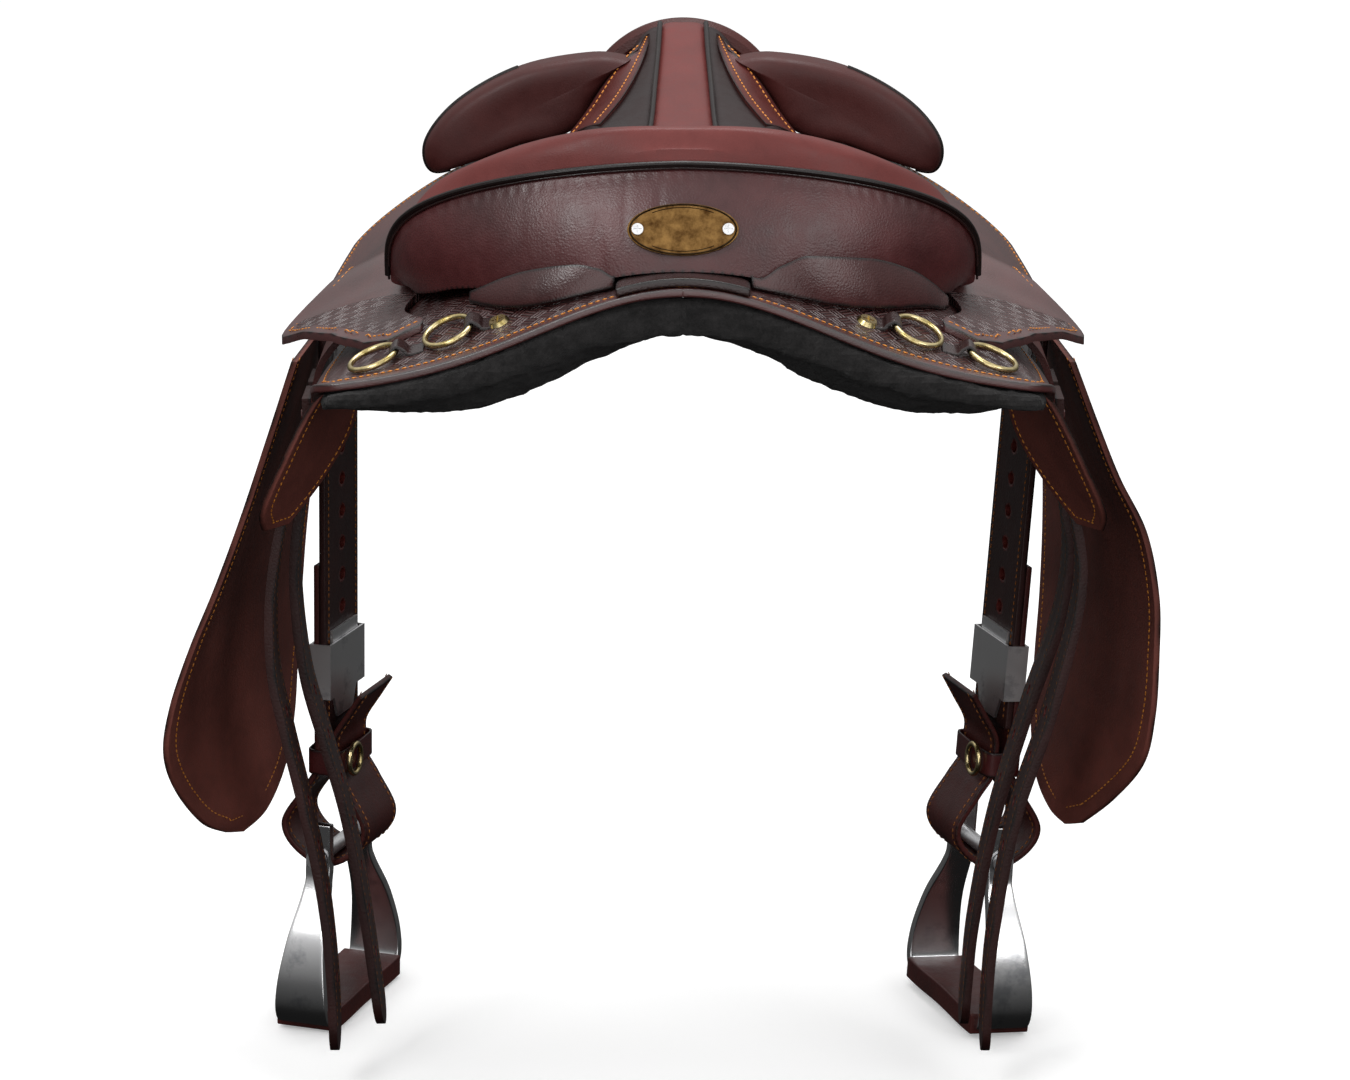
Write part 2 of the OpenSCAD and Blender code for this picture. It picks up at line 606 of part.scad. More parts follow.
// Each row is the distance outwards from the stud and the share of the length below it
girth_rear_shape_left = [[0, -0.035], [0, 0.03], [1.5, 0.06], [17, 0.15], [26, 0.27], [26, 0.39], [17, 0.5], [7, 0.61],
                         [-3, 0.745], [-8, 0.88], [-9, 1]];
girth_rear_shape_right = [[0, -0.035], [0, 0.03], [1.5, 0.06], [10, 0.13], [17, 0.22], [14, 0.31], [-1, 0.46],
                          [-22, 0.62], [-34, 0.79], [-38, 0.9], [-39, 1]];
girth_front_shape_left = [[0, -0.035], [0, 0.03], [1.5, 0.06], [9, 0.14], [15, 0.27], [10, 0.42], [-3, 0.54],
                          [-15, 0.65], [-25, 0.79], [-32, 0.92], [-36, 1]];
girth_front_shape_right = [[0, -0.035], [0, 0.03], [1.5, 0.06], [7, 0.13], [13, 0.23], [8, 0.34], [-12, 0.49],
                           [-32, 0.66], [-44, 0.82], [-48, 0.92], [-50, 1]];
girth_holes = 7;
girth_first_hole = 50;      // from the tip of a girth point up to its first hole

module girth_point(shape, y) {
    path = spline([for (p = shape) [girth_x + p.x, girth_stud_z - girth_len * p.y]], 30);
    color(mid_leather) translate([0, y, 0]) difference() {
        intersection() {
            band(path, girth_t, girth_w);
            rotate([90, 0, 90]) linear_extrude(2 * girth_x) union() {
                translate([-girth_w / 2, girth_stud_z - girth_len + girth_w / 2])
                    square([girth_w, girth_len + girth_w]);
                translate([0, girth_stud_z - girth_len + girth_w / 2]) circle(girth_w / 2);
            }
        }
        translate([0, 0, girth_stud_z]) rotate([0, 90, 0]) cylinder(r = stud_r + stud_clear, h = 2 * girth_x);
        for (i = [0:girth_holes - 1])
            translate([0, 0, girth_stud_z - girth_len + girth_first_hole + i * girth_pitch])
                rotate([0, 90, 0]) cylinder(d = hole_d, h = 2 * girth_x);
    }
}

// Front and rear edges of a sweat flap as points in space, from its hinge down to its tip
flap_front_y = -88;
flap_rear_y = -164;
function flap_hang(x, y) = [x, y, deck(x + flap_t, y) - skirt_t - seat_gap];
flap_front = [flap_hang(194, flap_front_y), [200, flap_front_y - 2, -52], [208, flap_front_y - 5, -84],
              [226, flap_front_y - 15, -114], [246, flap_front_y - 30, -138]];
flap_rear = [flap_hang(212, flap_rear_y), [228, flap_rear_y, -58], [243, flap_rear_y, -88],
             [257, flap_rear_y + 8, -120], [258, flap_rear_y + 26, -137]];
module sweat_flap() {
    front = spline(flap_front, 12);
    rear = spline(flap_rear, 12);
    outward = [flap_t, 0, 0];
    color(mid_leather) sheet([for (i = [0:12]) [for (j = [0:6]) mix(front[i], rear[i], j / 6)]],
                             [for (i = [0:12]) [for (j = [0:6]) mix(front[i], rear[i], j / 6) + outward]]);
}

// ---------------------------------------------------------------- stirrup leathers

hang_x = 229;           // middle of the leather at its stud
hang_y = 86;
hang_z = -62;
function lean(side) = side < 0 ? lean_left : lean_right;
module hang_frame(side) {
    on_side(side) translate([hang_x, hang_y, hang_z]) rotate([0, 0, yaw]) rotate([0, lean(side), 0]) children();
}

bar_w = 30;
plate_in = strap_t / 2 + seat_gap + steel_t;    // inner face of the end plate of a stirrup bar
module stirrup_bar(side) {
    lift = function(x) mix((bar_t + seat_gap + stack) / 2, 9, smooth((x - bar_out - 3) / 24));
    over = [for (x = [70, 86, 102, 112, 120, 128, 134, 141, 148, 155, 169, 186, 203]) [x, mid_height(x) + lift(x)]];
    down = [[214, -32], [219, -48], [220, -62]];
    color(steel) {
        on_side(side) translate([0, hang_y, 0]) difference() {
            band(spline(concat(over, down), 45), steel_t, bar_w - 8);
            for (x = rivet_xs) translate([0, -hang_y, 0])
                lie_on_deck(x, hang_y, bar_t) cylinder(r = rivet_r + 0.2, h = 3 * steel_t);
        }
        hang_frame(side) {
            translate([-plate_in, -bar_w / 2, -14]) cube([steel_t, bar_w, 26]);
            translate([-plate_in + 1, 0, 0]) rotate([0, 90, 0]) cylinder(r = stud_r, h = plate_in + strap_t / 2 + 0.6);
        }
    }
}
rivet_xs = [80, 104];
rivet_r = 3;
module bar_rivets() {
    color(brass) for (side = [left, right]) on_side(side) for (x = rivet_xs)
        lie_on_deck(x, hang_y, bar_t + 2 * seat_gap) cylinder(r = rivet_r, h = steel_t);
}

strap_up = 15;
strap_holes = 8;
strap_first_hole = 52;      // from the stud down to the first punched hole
hook_z = -strap_first_hole - (strap_holes - 1) * strap_pitch;
strap_down = 56 - hook_z;
module stirrup_strap(side) {
    color(dark_leather) hang_frame(side) difference() {
        translate([-strap_t / 2, -strap_w / 2, -strap_down]) cube([strap_t, strap_w, strap_down + strap_up]);
        translate([-strap_t, 0, 0]) rotate([0, 90, 0]) cylinder(r = stud_r + stud_clear, h = 2 * strap_t);
        for (i = [0:strap_holes - 1])
            translate([-strap_t, 0, -strap_first_hole - i * strap_pitch])
                rotate([0, 90, 0]) cylinder(d = hole_d + 1, h = 2 * strap_t);
    }
}

loop_t = 4;
bolt_z = -352;
leg_x = strap_t / 2 + seat_gap + loop_t / 2;    // middle of the loop's leg outside the strap
loop_bottom = bolt_z - bolt_d / 2 - seat_gap - loop_t / 2;
plate_t = 2;
inner_leg_x = -strap_t / 2 - 2 * seat_gap - plate_t - loop_t / 2;
loop_path = [[-27, -238], [-18, -252], [inner_leg_x - 1, -268], [inner_leg_x, -280], [inner_leg_x - 1, -294],
             [-17, -309], [-29, -332], [-21, loop_bottom + 10], [0, loop_bottom], [21, loop_bottom + 10],
             [29, -332], [15, -309], [leg_x + 1, -294], [leg_x, -280], [leg_x, -250], [leg_x, -200],
             [leg_x, -150]];
module stirrup_loop(side) {
    color(dark_leather) hang_frame(side) band(spline(loop_path, 56), loop_t, strap_w - 2);
}

buckle_top = hook_z + 10;
buckle_low = buckle_top - 62;
buckle_w = 44;
module buckle_plate(side) {
    color(steel) hang_frame(side) {
        rotate([0, -90, 0]) translate([0, 0, strap_t / 2 + seat_gap]) linear_extrude(plate_t)
            polygon([[buckle_top, -buckle_w / 2], [buckle_top, buckle_w / 2], [buckle_low + 20, buckle_w / 2],
                     [buckle_low, 13], [buckle_low, -13], [buckle_low + 20, -buckle_w / 2]]);
        translate([-strap_t / 2 - seat_gap - 1, 0, hook_z]) rotate([0, 90, 0])
            cylinder(d = hole_d + 0.4, h = strap_t);
    }
}

sleeve_in = -strap_t / 2 - 2 * seat_gap - plate_t;
sleeve_out = leg_x + loop_t / 2 + seat_gap;
sleeve_top = buckle_top - 8;
module buckle_sleeve(side) {
    color(steel) hang_frame(side) translate([0, 0, sleeve_top - sleeve_h]) difference() {
        translate([sleeve_in - sleeve_wall, -strap_w / 2 - seat_gap - sleeve_wall, 0])
            cube([sleeve_out - sleeve_in + 2 * sleeve_wall, strap_w + 2 * seat_gap + 2 * sleeve_wall, sleeve_h]);
        translate([sleeve_in, -strap_w / 2 - seat_gap, -1])
            cube([sleeve_out - sleeve_in, strap_w + 2 * seat_gap, sleeve_h + 2]);
    }
}

hobble_t = 2.5;
hobble_h = 17;
hobble_z = -295;
hobble_in = -loop_t / 2 - seat_gap - 3;
module hobble_strap(side) {
    low = inner_leg_x + hobble_in;
    high = leg_x - hobble_in;
    color("#6d2f2b") hang_frame(side) translate([0, 0, hobble_z]) difference() {
        translate([low - hobble_t, -strap_w / 2 - hobble_t, 0])
            cube([high - low + 2 * hobble_t, strap_w + 2 * hobble_t, hobble_h]);
        translate([low, -strap_w / 2, -1]) cube([high - low, strap_w, hobble_h + 2]);
    }
}
hobble_ring_d = 24;
module hobble_buckle(side) {
    x = inner_leg_x + hobble_in - hobble_t - seat_gap - ring_wire / 2;
    color(brass) hang_frame(side) translate([x, -strap_w / 2 + 16, hobble_z + hobble_h / 2])
        rotate([0, 90, 0]) rotate_extrude() translate([(hobble_ring_d - ring_wire) / 2, 0])
            circle(d = ring_wire, $fn = 24);
}

// ---------------------------------------------------------------- fenders

// Inner face of a fender: its rear and front edges as points in space
fender_top = -50;
fender_rear_left = [[245.2, -45, fender_top], [260, -46, -94], [280, -46, -152], [298, -46, -199],
                    [315, -46, -239], [329, -44, -279], [335, -36, -313], [330, -18, -344],
                    [316, 6, -374], [303, 32, -389]];
fender_front_left = [[234.8, 186, fender_top - 10], [243, 194, -110], [253, 194, -160], [260, 188, -210],
                     [264, 176, -260], [266, 158, -300], [267, 132, -335], [271, 98, -362],
                     [281, 62, -382], [295, 40, -391]];
fender_rear_right = [[245.9, -45, fender_top], [262, -46, -92], [276, -46, -126], [294, -46, -162],
                     [303, -46, -205], [304, -46, -245], [303, -42, -285], [298, -28, -322],
                     [282, 2, -356], [264, 28, -381]];
fender_front_right = [[235.5, 186, fender_top - 10], [243, 194, -110], [248, 194, -160], [249, 188, -210],
                      [247, 176, -260], [243, 158, -300], [239, 128, -340], [240, 90, -366],
                      [247, 58, -380], [256, 38, -385]];
module fender(side) {
    rear = spline(side < 0 ? fender_rear_left : fender_rear_right, 20);
    front = spline(side < 0 ? fender_front_left : fender_front_right, 20);
    outward = [fender_t, 0, 0];
    color(mid_leather) on_side(side)
        sheet([for (i = [0:20]) [for (j = [0:8]) mix(front[i], rear[i], j / 8)]],
              [for (i = [0:20]) [for (j = [0:8]) mix(front[i], rear[i], j / 8) + outward]]);
}

// ---------------------------------------------------------------- stirrups

ear_in = strap_w / 2 + 2;
ear_t = 8;
ear_up = 24;
tread_z = -foot_h;
foot_half = foot_w / 2;
bolt_clear = 0.2;
module stirrup_frame_at(side) { hang_frame(side) translate([0, 0, bolt_z]) children(); }
module stirrup_frame(side) {
    inner = [[ear_in, ear_up], [ear_in, -8], [ear_in + 4, -22], [foot_half - 10, -50], [foot_half - 2, -76],
             [foot_half, tread_z]];
    outer = [[foot_half + branch_t, tread_z - 2], [foot_half + branch_t - 5, tread_z - tread_t]];
    back = [[foot_half + branch_t - 1, -76], [foot_half + branch_t - 7, -50], [ear_in + ear_t + 4, -22],
            [ear_in + ear_t, -9], [ear_in + ear_t, ear_up]];
    half = concat([for (i = [5:-1:0]) inner[i]], [for (i = [4:-1:0]) back[i]], outer);
    other_half = [for (i = [len(half) - 1:-1:0]) [-half[i].x, half[i].y]];
    color(aluminium) stirrup_frame_at(side) difference() {
        intersection() {
            rotate([90, 0, 90]) linear_extrude(2 * branch_low_w, center = true)
                polygon(concat(half, other_half));
            rotate([90, 0, 0]) linear_extrude(4 * foot_w, center = true)
                polygon([[-branch_top_w / 2, ear_up + 1], [branch_top_w / 2, ear_up + 1],
                         [branch_top_w / 2, -20], [branch_low_w / 2, tread_z + 10],
                         [branch_low_w / 2, tread_z - tread_t - 1], [-branch_low_w / 2, tread_z - tread_t - 1],
                         [-branch_low_w / 2, tread_z + 10], [-branch_top_w / 2, -20]]);
        }
        rotate([90, 0, 0]) cylinder(d = bolt_d + 2 * bolt_clear, h = 4 * ear_in, center = true);
    }
}
bolt_head_t = 3;
module stirrup_bolt(side) {
    reach = ear_in + ear_t + seat_gap;
    color(steel) stirrup_frame_at(side) rotate([90, 0, 0]) {
        cylinder(d = bolt_d, h = 2 * reach, center = true);
        for (end = [-1, 1]) translate([0, 0, end * (reach + bolt_head_t / 2)])
            cylinder(d = bolt_d + 4, h = bolt_head_t, center = true);
    }
}
module tread_cover(side) {
    long = foot_w - 6;
    hole_w = branch_low_w + 2 * seat_gap;
    hole_h = tread_t + 2 * seat_gap;
    color(black_leather) stirrup_frame_at(side) translate([0, 0, tread_z - tread_t / 2]) difference() {
        cube([hole_w + 2 * tread_cover_t, long, hole_h + 2 * tread_cover_t], center = true);
        cube([hole_w, long + 2, hole_h], center = true);
    }
}

// ---------------------------------------------------------------- assembly

tree();
gullet_plate();
stirrup_bar(left);  // stirrup_bar_left
stirrup_bar(right);  // stirrup_bar_right
bar_rivets();
seat_webbing();
seat_foam();
seat_cover();
seat_piping();
cantle_back();
cantle_piping();
pommel_cap();
on_side(left) knee_pad();  // knee_pad_left
on_side(right) knee_pad();  // knee_pad_right
on_side(left) seat_jockey();  // seat_jockey_left
on_side(right) seat_jockey();  // seat_jockey_right
on_side(left) rear_jockey();  // rear_jockey_left
on_side(right) rear_jockey();  // rear_jockey_right
on_side(left) color(dark_leather) skirt();  // skirt_left
on_side(right) color(dark_leather) skirt();  // skirt_right
on_side(left) color(felt_black) felt_panel();  // felt_panel_left
on_side(right) color(felt_black) felt_panel();  // felt_panel_right
skirt_join_tab();
badge_plate();
badge_screws();
skirt_screws();
on_side(left) dee_ring(ring_inner_x);  // dee_ring_inner_left
on_side(left) dee_ring(ring_outer_x);  // dee_ring_outer_left
on_side(right) dee_ring(ring_inner_x);  // dee_ring_inner_right
on_side(right) dee_ring(ring_outer_x);  // dee_ring_outer_right
dee_loops();
rigging_web();
on_side(left) sweat_flap();  // sweat_flap_left
on_side(right) sweat_flap();  // sweat_flap_right
on_side(left) girth_point(girth_rear_shape_left, girth_rear_y);  // girth_point_rear_left
on_side(left) girth_point(girth_front_shape_left, girth_front_y);  // girth_point_front_left
on_side(right) girth_point(girth_rear_shape_right, girth_rear_y);  // girth_point_rear_right
on_side(right) girth_point(girth_front_shape_right, girth_front_y);  // girth_point_front_right
stirrup_strap(left);  // stirrup_strap_left
stirrup_strap(right);  // stirrup_strap_right
stirrup_loop(left);  // stirrup_loop_left
stirrup_loop(right);  // stirrup_loop_right
fender(left);  // fender_left
fender(right);  // fender_right
buckle_plate(left);  // buckle_plate_left
buckle_plate(right);  // buckle_plate_right
buckle_sleeve(left);  // buckle_sleeve_left
buckle_sleeve(right);  // buckle_sleeve_right
hobble_strap(left);  // hobble_strap_left
hobble_strap(right);  // hobble_strap_right
hobble_buckle(left);  // hobble_buckle_left
hobble_buckle(right);  // hobble_buckle_right
stirrup_bolt(left);  // stirrup_bolt_left
stirrup_bolt(right);  // stirrup_bolt_right
stirrup_frame(left);  // stirrup_frame_left
stirrup_frame(right);  // stirrup_frame_right
tread_cover(left);  // tread_cover_left
tread_cover(right);  // tread_cover_right
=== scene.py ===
# %% [markdown]
# # A stock saddle with its stirrups
# A stock saddle is a stack of leather: a seat over a hidden tree, side jockeys, skirts over felt,
# and long straps that hang down each side. The imported CAD model gives each piece its place.
# Here every soft piece gets its real skin, its rounded edges and its thread.
# The frame is loaded first.

# %% Load the frame
from functools import lru_cache, partial
import json
import math
import bpy
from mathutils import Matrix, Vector, noise
from mathutils.kdtree import KDTree

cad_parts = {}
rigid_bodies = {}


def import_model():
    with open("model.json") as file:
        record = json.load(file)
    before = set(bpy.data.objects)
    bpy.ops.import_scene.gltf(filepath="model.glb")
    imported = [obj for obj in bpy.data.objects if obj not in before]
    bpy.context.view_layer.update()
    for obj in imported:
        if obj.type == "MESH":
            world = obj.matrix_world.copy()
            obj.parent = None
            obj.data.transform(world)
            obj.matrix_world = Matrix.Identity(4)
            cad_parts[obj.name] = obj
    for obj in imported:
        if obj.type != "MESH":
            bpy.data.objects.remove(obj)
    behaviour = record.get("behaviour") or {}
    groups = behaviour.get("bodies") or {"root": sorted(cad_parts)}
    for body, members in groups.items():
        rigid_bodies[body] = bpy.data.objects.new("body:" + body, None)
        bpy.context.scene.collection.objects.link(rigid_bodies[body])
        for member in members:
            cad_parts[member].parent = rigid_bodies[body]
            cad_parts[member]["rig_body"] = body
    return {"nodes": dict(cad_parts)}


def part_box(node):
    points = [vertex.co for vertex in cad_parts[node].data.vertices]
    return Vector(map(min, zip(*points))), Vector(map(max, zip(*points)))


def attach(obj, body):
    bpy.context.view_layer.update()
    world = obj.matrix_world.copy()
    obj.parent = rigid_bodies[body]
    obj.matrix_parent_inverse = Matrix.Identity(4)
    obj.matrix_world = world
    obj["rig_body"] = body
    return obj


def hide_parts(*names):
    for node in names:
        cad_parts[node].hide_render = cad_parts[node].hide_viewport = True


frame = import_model()
bpy.ops.object.select_all(action="DESELECT")
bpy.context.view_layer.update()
MM = 0.001
SIDES = {"left": -1, "right": 1}

# %% [markdown]
# ## Camera
# The saddle is seen from straight behind and a little above, through a long lens, so that its
# width shows with little perspective. A shift of the lens moves the picture sideways without
# turning the camera.

# %% Camera
LOOK_DOWN = 14.4
camera_data = bpy.data.cameras.new("camera")
camera = bpy.data.objects.new("camera", camera_data)
bpy.context.collection.objects.link(camera)
camera.location = (0, -2.915, 0.570)
camera.rotation_euler = (math.radians(90 - LOOK_DOWN), 0, 0)
camera_data.lens = 123.07
camera_data.sensor_width = 36
camera_data.shift_x = -0.005926
bpy.context.scene.camera = camera
bpy.context.scene.view_settings.view_transform = "Standard"
print("camera looks down by degrees:", LOOK_DOWN)

# %% [markdown]
# ## Floor and lamps
# Four large soft disks give the even light of a studio: one disk alone would leave hard shadows
# between the hanging straps. The pale floor takes the shadow of the saddle, and it is hidden from
# bounced and mirrored light, so that it doesn't light up the undersides of the flaps.


# %% Floor and lamps
def lamp(name, place, target, size, power):
    """A round soft lamp of this size in metres and power in watts, turned to its target."""
    data = bpy.data.lights.new(name, "AREA")
    data.shape, data.size, data.energy = "DISK", size, power
    light = bpy.data.objects.new(name, data)
    light.location = place
    light.rotation_euler = (Vector(target) - Vector(place)).to_track_quat("-Z", "Y").to_euler()
    bpy.context.collection.objects.link(light)


lamp("key_lamp", (-1.5, -2.2, 2.1), (0, -0.1, 0), 1.3, 30)
lamp("fill_lamp", (1.9, -2.0, 1.2), (0, 0, -0.1), 1.5, 14)
lamp("top_lamp", (0.1, 0.4, 2.2), (0, -0.05, 0), 1.2, 20)
lamp("low_lamp", (0, -2.6, 0.1), (0, 0, -0.3), 2.2, 17)

bpy.ops.mesh.primitive_plane_add(size=14, location=(0, 0, -0.53))
floor = bpy.context.object
floor.name = "studio_floor"
floor.visible_diffuse = floor.visible_glossy = False
bpy.ops.object.select_all(action="DESELECT")
print("lamps:", len(bpy.data.lights))

# %% [markdown]
# ## Colours and nodes
# Colours are written as they look on a screen and turned to the linear values that a shader
# needs. One helper adds a node, gives it its settings and joins its links. Sizes of a pattern
# are worked out from millimetres: a pattern of scale s repeats about every 1/s metres.


# %% Helpers for materials
def linear(code):
    """The linear values of a colour written as it looks on a screen."""
    parts = [int(code[i:i + 2], 16) / 255 for i in (1, 3, 5)]
    return tuple(c / 12.92 if c < 0.04045 else ((c + 0.055) / 1.055) ** 2.4 for c in parts) + (1,)


def per(size):
    """Scale of a pattern whose features are this many millimetres across."""
    return 1000 / size


def add(tree, kind, settings, out=0):
    """Adds a node with its settings, values and links, and returns one of its outputs."""
    made = tree.nodes.new("ShaderNode" + kind)
    for key, value in settings.items():
        if key == "stops":
            band = made.color_ramp.elements
            for i, (place, colour) in enumerate(value):
                stop = band[i] if i < 2 else band.new(place)
                stop.position, stop.color = place, linear(colour)
        elif key in made.bl_rna.properties.keys():
            setattr(made, key, value)
        elif isinstance(value, bpy.types.NodeSocket):
            tree.links.new(value, made.inputs[key])
        else:
            made.inputs[key].default_value = value
    return made.outputs[out]


def start(name, **shader):
    """A new material with its constant shader settings, and where its patterns are placed."""
    material = bpy.data.materials.new(name)
    material.use_nodes = True
    body = material.node_tree.nodes["Principled BSDF"]
    for key, value in shader.items():
        body.inputs[key.replace("_", " ").title().replace("Ior", "IOR")].default_value = value
    return material, material.node_tree, body, add(material.node_tree, "TexCoord", {}, "Object")


print("a grey of #808080 is in linear light:", round(linear("#808080")[0], 3))


# %% [markdown]
# ## Leather
# Saddle leather is vegetable tanned cowhide, dyed, waxed and burnished. Its colour drifts slowly
# over the hide, fine pores catch the light, and cut edges are rubbed dark. Each leather piece
# carries a "rim" value, 1 at its cut edge and 0 from 30 mm inwards, so that the dark edge and the
# stamping follow the shape of the piece. "tool" says where a basket weave is stamped.


# %% Leather
RIM_REACH = 30.0
RIB = 0.942     # scale of a wave whose ribs lie three to a check of the basket weave


def leather(name, light, dark, edge, rough=0.42, pore=1.1, depth=0.25, drift=70, edge_mm=1.6,
            coat=0.12, weave=0, panel=None, wrinkle=0.0, gloss=0.4):
    """Dyed hide: sizes in mm are of its pores, its drift of colour, its dark edge and its weave.

    panel gives the light and dark colour of a second zone, where "panel" is above 0.
    """
    material, tree, body, place = start(name, roughness=rough, ior=1.5, specular_ior_level=gloss,
                                        coat_weight=coat, coat_roughness=0.35)
    slow = add(tree, "TexNoise", {"Scale": per(drift), "Detail": 3.0, "Roughness": 0.55,
                                  "Vector": place})
    near = add(tree, "TexNoise", {"Scale": per(9), "Detail": 5.0, "Roughness": 0.6,
                                  "Vector": place})
    drifted = add(tree, "Math", {"operation": "MULTIPLY_ADD", 0: near, 1: 0.35, 2: slow})
    colour = add(tree, "ValToRGB", {"stops": [(0.42, dark), (0.86, light)], "Fac": drifted})
    if panel:
        zone = add(tree, "Attribute", {"attribute_name": "panel"}, "Fac")
        other = add(tree, "ValToRGB", {"stops": [(0.42, panel[1]), (0.86, panel[0])],
                                       "Fac": drifted})
        share = add(tree, "MapRange", {"Value": zone, "From Min": -0.3, "From Max": 0.3})
        colour = add(tree, "Mix", {"data_type": "RGBA", 0: share, 6: colour, 7: other}, 2)
    rim = add(tree, "Attribute", {"attribute_name": "rim"}, "Fac")
    inward = add(tree, "MapRange", {"Value": rim, "From Min": 1.0, "From Max": 0.0,
                                    "To Max": RIM_REACH})
    worn = add(tree, "Math", {"operation": "MULTIPLY_ADD", 0: near, 1: -edge_mm, 2: inward})
    kept = add(tree, "MapRange", {"Value": worn, "From Min": -0.2 * edge_mm,
                                  "From Max": 0.9 * edge_mm})
    # Real pores are finer: these are drawn as coarse as they need to be to show.
    pores = add(tree, "TexVoronoi", {"feature": "SMOOTH_F1", "Scale": per(pore),
                                     "Smoothness": 0.7, "Vector": place})
    fine = add(tree, "TexNoise", {"Scale": per(0.6), "Detail": 2.0, "Vector": place})
    height = add(tree, "Math", {"operation": "MULTIPLY_ADD", 0: fine, 1: 0.3, 2: pores})
    if wrinkle:
        tall = add(tree, "Mapping", {"Scale": (1, 1, 0.22), "Vector": place})
        folds = add(tree, "TexNoise", {"Scale": per(8), "Detail": 4.0, "Roughness": 0.65,
                                       "Distortion": 0.6, "Vector": tall})
        height = add(tree, "Math", {"operation": "MULTIPLY_ADD", 0: folds, 1: wrinkle, 2: height})
    bump = add(tree, "Bump", {"Strength": depth, "Distance": 0.5 * MM, "Height": height})
    if weave:
        uv = add(tree, "UVMap", {"uv_map": "skin"})
        turned = add(tree, "Mapping", {"Rotation": (0, 0, math.radians(45)),
                                       "Scale": (per(weave),) * 3, "Vector": uv})
        check = add(tree, "TexChecker", {"Scale": 1.0, "Vector": turned}, "Fac")
        across, along = (add(tree, "TexWave", {"bands_direction": way, "Scale": RIB,
                                               "Distortion": 0.5, "Detail": 1.0,
                                               "Vector": turned}, "Fac") for way in "XY")
        rope = add(tree, "Mix", {"data_type": "FLOAT", 0: check, 2: across, 3: along})
        where = add(tree, "Attribute", {"attribute_name": "tool"}, "Fac")
        stamped = add(tree, "MapRange", {"Value": where, "From Min": 0.35, "From Max": 0.65})
        raised = add(tree, "Math", {"operation": "MULTIPLY", 0: rope, 1: stamped})
        bump = add(tree, "Bump", {"Strength": 0.9, "Distance": 1.2 * MM, "Height": raised,
                                  "Normal": bump})
        # Painted shade: the hollows between the stamped ropes are darkened towards the edge colour,
        # where shade would fall.
        hollow = add(tree, "MapRange", {"Value": rope, "From Min": 0.0, "From Max": 0.5,
                                        "To Min": 0.8, "To Max": 0.0})
        hollow = add(tree, "Math", {"operation": "MULTIPLY", 0: hollow, 1: stamped})
        colour = add(tree, "Mix", {"data_type": "RGBA", 0: hollow, 6: colour, 7: linear(edge)}, 2)
    colour = add(tree, "Mix", {"data_type": "RGBA", 0: kept, 6: linear(edge), 7: colour}, 2)
    shine = add(tree, "MapRange", {"Value": near, "From Min": 0.3, "From Max": 0.75,
                                   "To Min": rough - 0.07, "To Max": rough + 0.1})
    for socket, value in (("Base Color", colour), ("Roughness", shine), ("Normal", bump)):
        tree.links.new(value, body.inputs[socket])
    return material


print("rim value reaches 0 after millimetres:", RIM_REACH)

# %% [markdown]
# ## The hides of this saddle
# One dye bath gives many colours, because each part takes a different cut of hide and a different
# finish. The same recipe is therefore used with other numbers for each. It could be one material
# for all, but then the glossy skirts would not part from the dull fenders.

# %% Hides
# The soft red-brown seat, with an almost black zone at its sides.
SEAT = leather("oxblood_seat_hide", "#713431", "#572624", "#2c1413", rough=0.42, pore=0.9,
               depth=0.12, drift=110, coat=0.04, panel=("#241010", "#170a0a"), edge_mm=1.0,
               gloss=0.25)
# The even, matt dark red of the stuffed knee pads.
PAD = leather("oxblood_knee_pad_hide", "#4e2321", "#371716", "#120909", rough=0.46, pore=0.9,
              depth=0.1, drift=120, coat=0.04, gloss=0.3)
# The redder strips between the seat and the pads.
FACING = leather("red_brown_facing_hide", "#5c2622", "#461b18", "#200c0b", rough=0.45, pore=0.9,
                 depth=0.15, gloss=0.3)
# The wrinkled grain and waxy shine of the cantle's back.
CANTLE = leather("grained_cantle_hide", "#532425", "#3a1718", "#150a0a", rough=0.36, pore=1.3,
                 depth=0.3, drift=60, coat=0.15, wrinkle=0.35, gloss=0.5)
# Glossy skirts and jockeys, on which each stamped rope catches its own light, with painted shade in
# the hollows between the ropes.
SKIRT = leather("basket_stamped_skirt_hide", "#532b2a", "#381b1a", "#140a0a", rough=0.33,
                pore=1.0, depth=0.2, drift=80, weave=8.0, coat=0.25, gloss=0.85)
# Nearly black oiled straps, with red rings round their holes.
STRAP = leather("waxed_strap_hide", "#351a18", "#221110", "#0e0707", rough=0.46, pore=1.3,
                depth=0.3, drift=50, panel=("#5d211c", "#3f1512"), coat=0.04, gloss=0.3)
# The pale, dull brown of the fenders, with a broad dark edge.
FLESH = leather("fender_hide", "#7d463d", "#57302a", "#1a0e0c", rough=0.6, pore=1.4, depth=0.3,
                drift=90, edge_mm=2.2, coat=0.0, gloss=0.2)
# The black line of the pipings round seat and pads.
PIPE = leather("black_piping_hide", "#1d1413", "#120c0c", "#0a0707", rough=0.34, pore=0.8,
               depth=0.15, coat=0.04, gloss=0.3)
# Small dark pieces that shine like patent leather.
DARK = leather("dark_glossy_hide", "#33201f", "#211414", "#0f0a0a", rough=0.24, pore=1.2,
               depth=0.3, coat=0.3)
# The blood red of the two keepers.
LATIGO = leather("red_latigo", "#4c1818", "#351011", "#150808", rough=0.38, pore=1.0, depth=0.2,
                 gloss=0.35)
# The sharp highlight along the rear jockeys.
LIP = leather("glazed_jockey_hide", "#4a2222", "#311515", "#0f0707", rough=0.27, pore=1.2,
              depth=0.25, coat=0.2, gloss=0.5)
